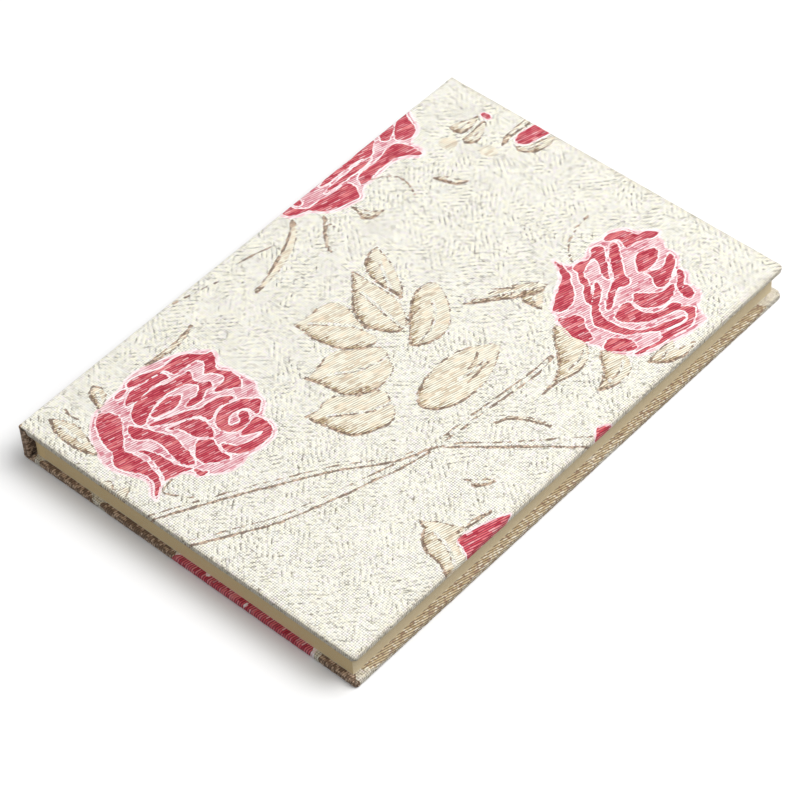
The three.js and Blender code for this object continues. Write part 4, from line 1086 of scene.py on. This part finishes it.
upper_joint = cloth_strip("front_joint_cloth", joint_columns, joint_rows, lambda w, v: wrap_joint(w, v, True))
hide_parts("spine_cloth")
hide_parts("spine_cloth")
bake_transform(lower_joint)
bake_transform(upper_joint)

# The three boards: grey millboard, pressed from pulped paper, with flecks of fibre. Two stiffen the
# covers and a narrow one the spine, and all are glued inside the cloth.
BOARD_FLECK = 900
BOARD_DARK, BOARD_PALE = paint(112, 102, 90), paint(150, 140, 124)
millboard, tree, bsdf = new_finish("grey_millboard", roughness=0.95, specular=0.1)
place = add_node(tree, "ShaderNodeTexCoord").outputs["Object"]
fleck = clouds(tree, place, BOARD_FLECK, detail=4)
dress(tree, bsdf, over(tree, fleck, BOARD_DARK, BOARD_PALE), fleck, strength=0.6, depth=0.05)


def give_finish(nodes, finish):
    """The finish goes on CAD pieces whose shape is right as it is."""
    for node in nodes:
        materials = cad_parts[node].data.materials
        materials.clear()
        materials.append(finish)


give_finish(["front_board", "back_board", "spine_board"], millboard)

# The endpapers: a stout uncoated paper. One leaf is pasted down inside each cover, over the cloth that
# is turned in, and one is left free.
PAPER_FIBRE = 700
SHEET_CLOUD = 25
CLOUD_SHARE = 0.3
SHEET_DARK, SHEET_PALE, SHEET_CLOUDED = paint(224, 215, 190), paint(234, 227, 206), paint(214, 202, 172)
endpaper, tree, bsdf = new_finish("endpaper", roughness=0.85, specular=0.25)
place = add_node(tree, "ShaderNodeTexCoord").outputs["Object"]
fibre = clouds(tree, place, PAPER_FIBRE, detail=5, Roughness=0.7)
cloud_share = calc(tree, "MULTIPLY", clouds(tree, place, SHEET_CLOUD, detail=3), CLOUD_SHARE)
sheet_colour = over(tree, cloud_share, over(tree, fibre, SHEET_DARK, SHEET_PALE), SHEET_CLOUDED)
dress(tree, bsdf, sheet_colour, fibre, strength=0.4, depth=0.02)
give_finish(["front_pastedown", "back_pastedown", "front_flyleaf", "back_flyleaf"], endpaper)

# The ten sections: cream writing paper, folded, sewn and trimmed smooth on three sides. The trimmed
# edges look darker than the pages and show the leaves as fine streaks. At head and tail they are
# painted yellower, as painted warm bounce light.
EDGE_STREAKS = (14, 14, 5200)
BAND_STREAKS = (4, 4, 520)
BAND_SHARE = 0.35
WARM_BOUNCE_SHARE = 0.85
EDGE_DARK, EDGE_PALE, EDGE_BAND = paint(216, 196, 155), paint(232, 214, 180), paint(200, 185, 152)
# Painted warm bounce light: the yellower shades of the head and tail edges
WARM_BOUNCE_END_DARK, WARM_BOUNCE_END_PALE = paint(227, 198, 144), paint(241, 214, 162)
PAGE_DARK, PAGE_PALE = paint(228, 218, 190), paint(242, 235, 214)
SECTIONS = [f"{number:02d}" for number in range(1, 11)]
leaf_paper, tree, bsdf = new_finish("leaf_paper", roughness=0.8, specular=0.2)
leaf_place = add_node(tree, "ShaderNodeTexCoord").outputs
place = leaf_place["Object"]
fine_place = add_node(tree, "ShaderNodeMapping", {"Vector": place, "Scale": EDGE_STREAKS}).outputs[0]
band_place = add_node(tree, "ShaderNodeMapping", {"Vector": place, "Scale": BAND_STREAKS}).outputs[0]
fine_streaks = clouds(tree, fine_place, scale=1, detail=3)
band_share = calc(tree, "MULTIPLY", clouds(tree, band_place, scale=1, detail=2), BAND_SHARE)
facing = add_node(tree, "ShaderNodeSeparateXYZ", {0: leaf_place["Normal"]}).outputs
# painted warm bounce light on the edges that face head and tail
warm_bounce_share = calc(tree, "MULTIPLY", calc(tree, "ABSOLUTE", facing["Y"]), WARM_BOUNCE_SHARE)
is_page = calc(tree, "ABSOLUTE", facing["Z"])
leaf_colour = over(tree, band_share, over(tree, fine_streaks, EDGE_DARK, EDGE_PALE), EDGE_BAND)
leaf_colour = over(tree, warm_bounce_share, leaf_colour, over(tree, fine_streaks, WARM_BOUNCE_END_DARK, WARM_BOUNCE_END_PALE))
page_colour = over(tree, clouds(tree, place, PAPER_FIBRE, detail=5), PAGE_DARK, PAGE_PALE)
leaf_colour = over(tree, is_page, leaf_colour, page_colour)
dress(tree, bsdf, leaf_colour, fine_streaks, strength=0.3, depth=0.03)
give_finish([f"section_{number}" for number in SECTIONS], leaf_paper)

# The sewing threads: waxed linen, twisted. One runs through the holes in the fold of each section and
# holds its leaves together.
TWIST = 130
LINEN_DARK, LINEN_PALE = paint(206, 196, 172), paint(238, 231, 214)
linen, tree, bsdf = new_finish("waxed_linen_thread", roughness=0.6, specular=0.35)
place = add_node(tree, "ShaderNodeTexCoord").outputs["Object"]
twist = add_node(tree, "ShaderNodeTexWave", {"Vector": place, "Scale": TWIST, "Distortion": 1.5},
                 wave_type="BANDS", bands_direction="DIAGONAL").outputs["Fac"]
dress(tree, bsdf, over(tree, twist, LINEN_DARK, LINEN_PALE), twist, strength=0.7, depth=0.04)
give_finish([f"sewing_thread_{number}" for number in SECTIONS], linen)

# The gauze: open, starched cotton mull, glued over the folds of the sections. Its wings go under the
# pastedowns and hold the leaves in the covers.
MULL_PITCH = 1.5
MULL_YARN = 0.14
STARCH = 1500
MULL_DARK, MULL_PALE = paint(200, 192, 172), paint(230, 224, 208)
gauze_cotton, tree, bsdf = new_finish("gauze_cotton", roughness=0.9, specular=0.15)
place = add_node(tree, "ShaderNodeTexCoord").outputs["Object"]
mull_colour = over(tree, clouds(tree, place, STARCH, detail=2), MULL_DARK, MULL_PALE)
tree.links.new(mull_colour, bsdf.inputs["Base Color"])


def mull(name, node, body, bend):
    """A strip of open mull: a grid whose every edge becomes a yarn. bend folds it up the folds."""
    low, high = (Vector(corner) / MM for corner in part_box(node))
    reach = high.x - low.x + (high.z - low.z if bend else 0)
    columns, rows = round(reach / MULL_PITCH), round((high.y - low.y) / MULL_PITCH)
    bm = bmesh.new()
    bmesh.ops.create_grid(bm, x_segments=columns, y_segments=rows, size=0.5)
    half_yarn = MULL_YARN / 2
    for vert in bm.verts:
        along_wing = (vert.co.x + 0.5) * (reach - 4 * half_yarn)
        y = (low.y + high.y) / 2 + vert.co.y * (high.y - low.y - 2 * half_yarn)
        x, z = high.x - half_yarn - along_wing, low.z + half_yarn
        if bend and x < low.x + half_yarn:
            x, z = low.x + half_yarn, z + low.x + half_yarn - x
        vert.co = Vector((x, y, z)) * MM
    piece = new_piece(name, bm)
    piece.data.materials.append(gauze_cotton)
    net = piece.modifiers.new("yarns", "WIREFRAME")
    net.thickness = MULL_YARN * MM
    net.use_even_offset = False
    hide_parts(node)
    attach(piece, body)


mull("back_mull", "back_gauze", "back_cover", bend=True)
mull("front_mull", "front_gauze", "front_cover", bend=False)
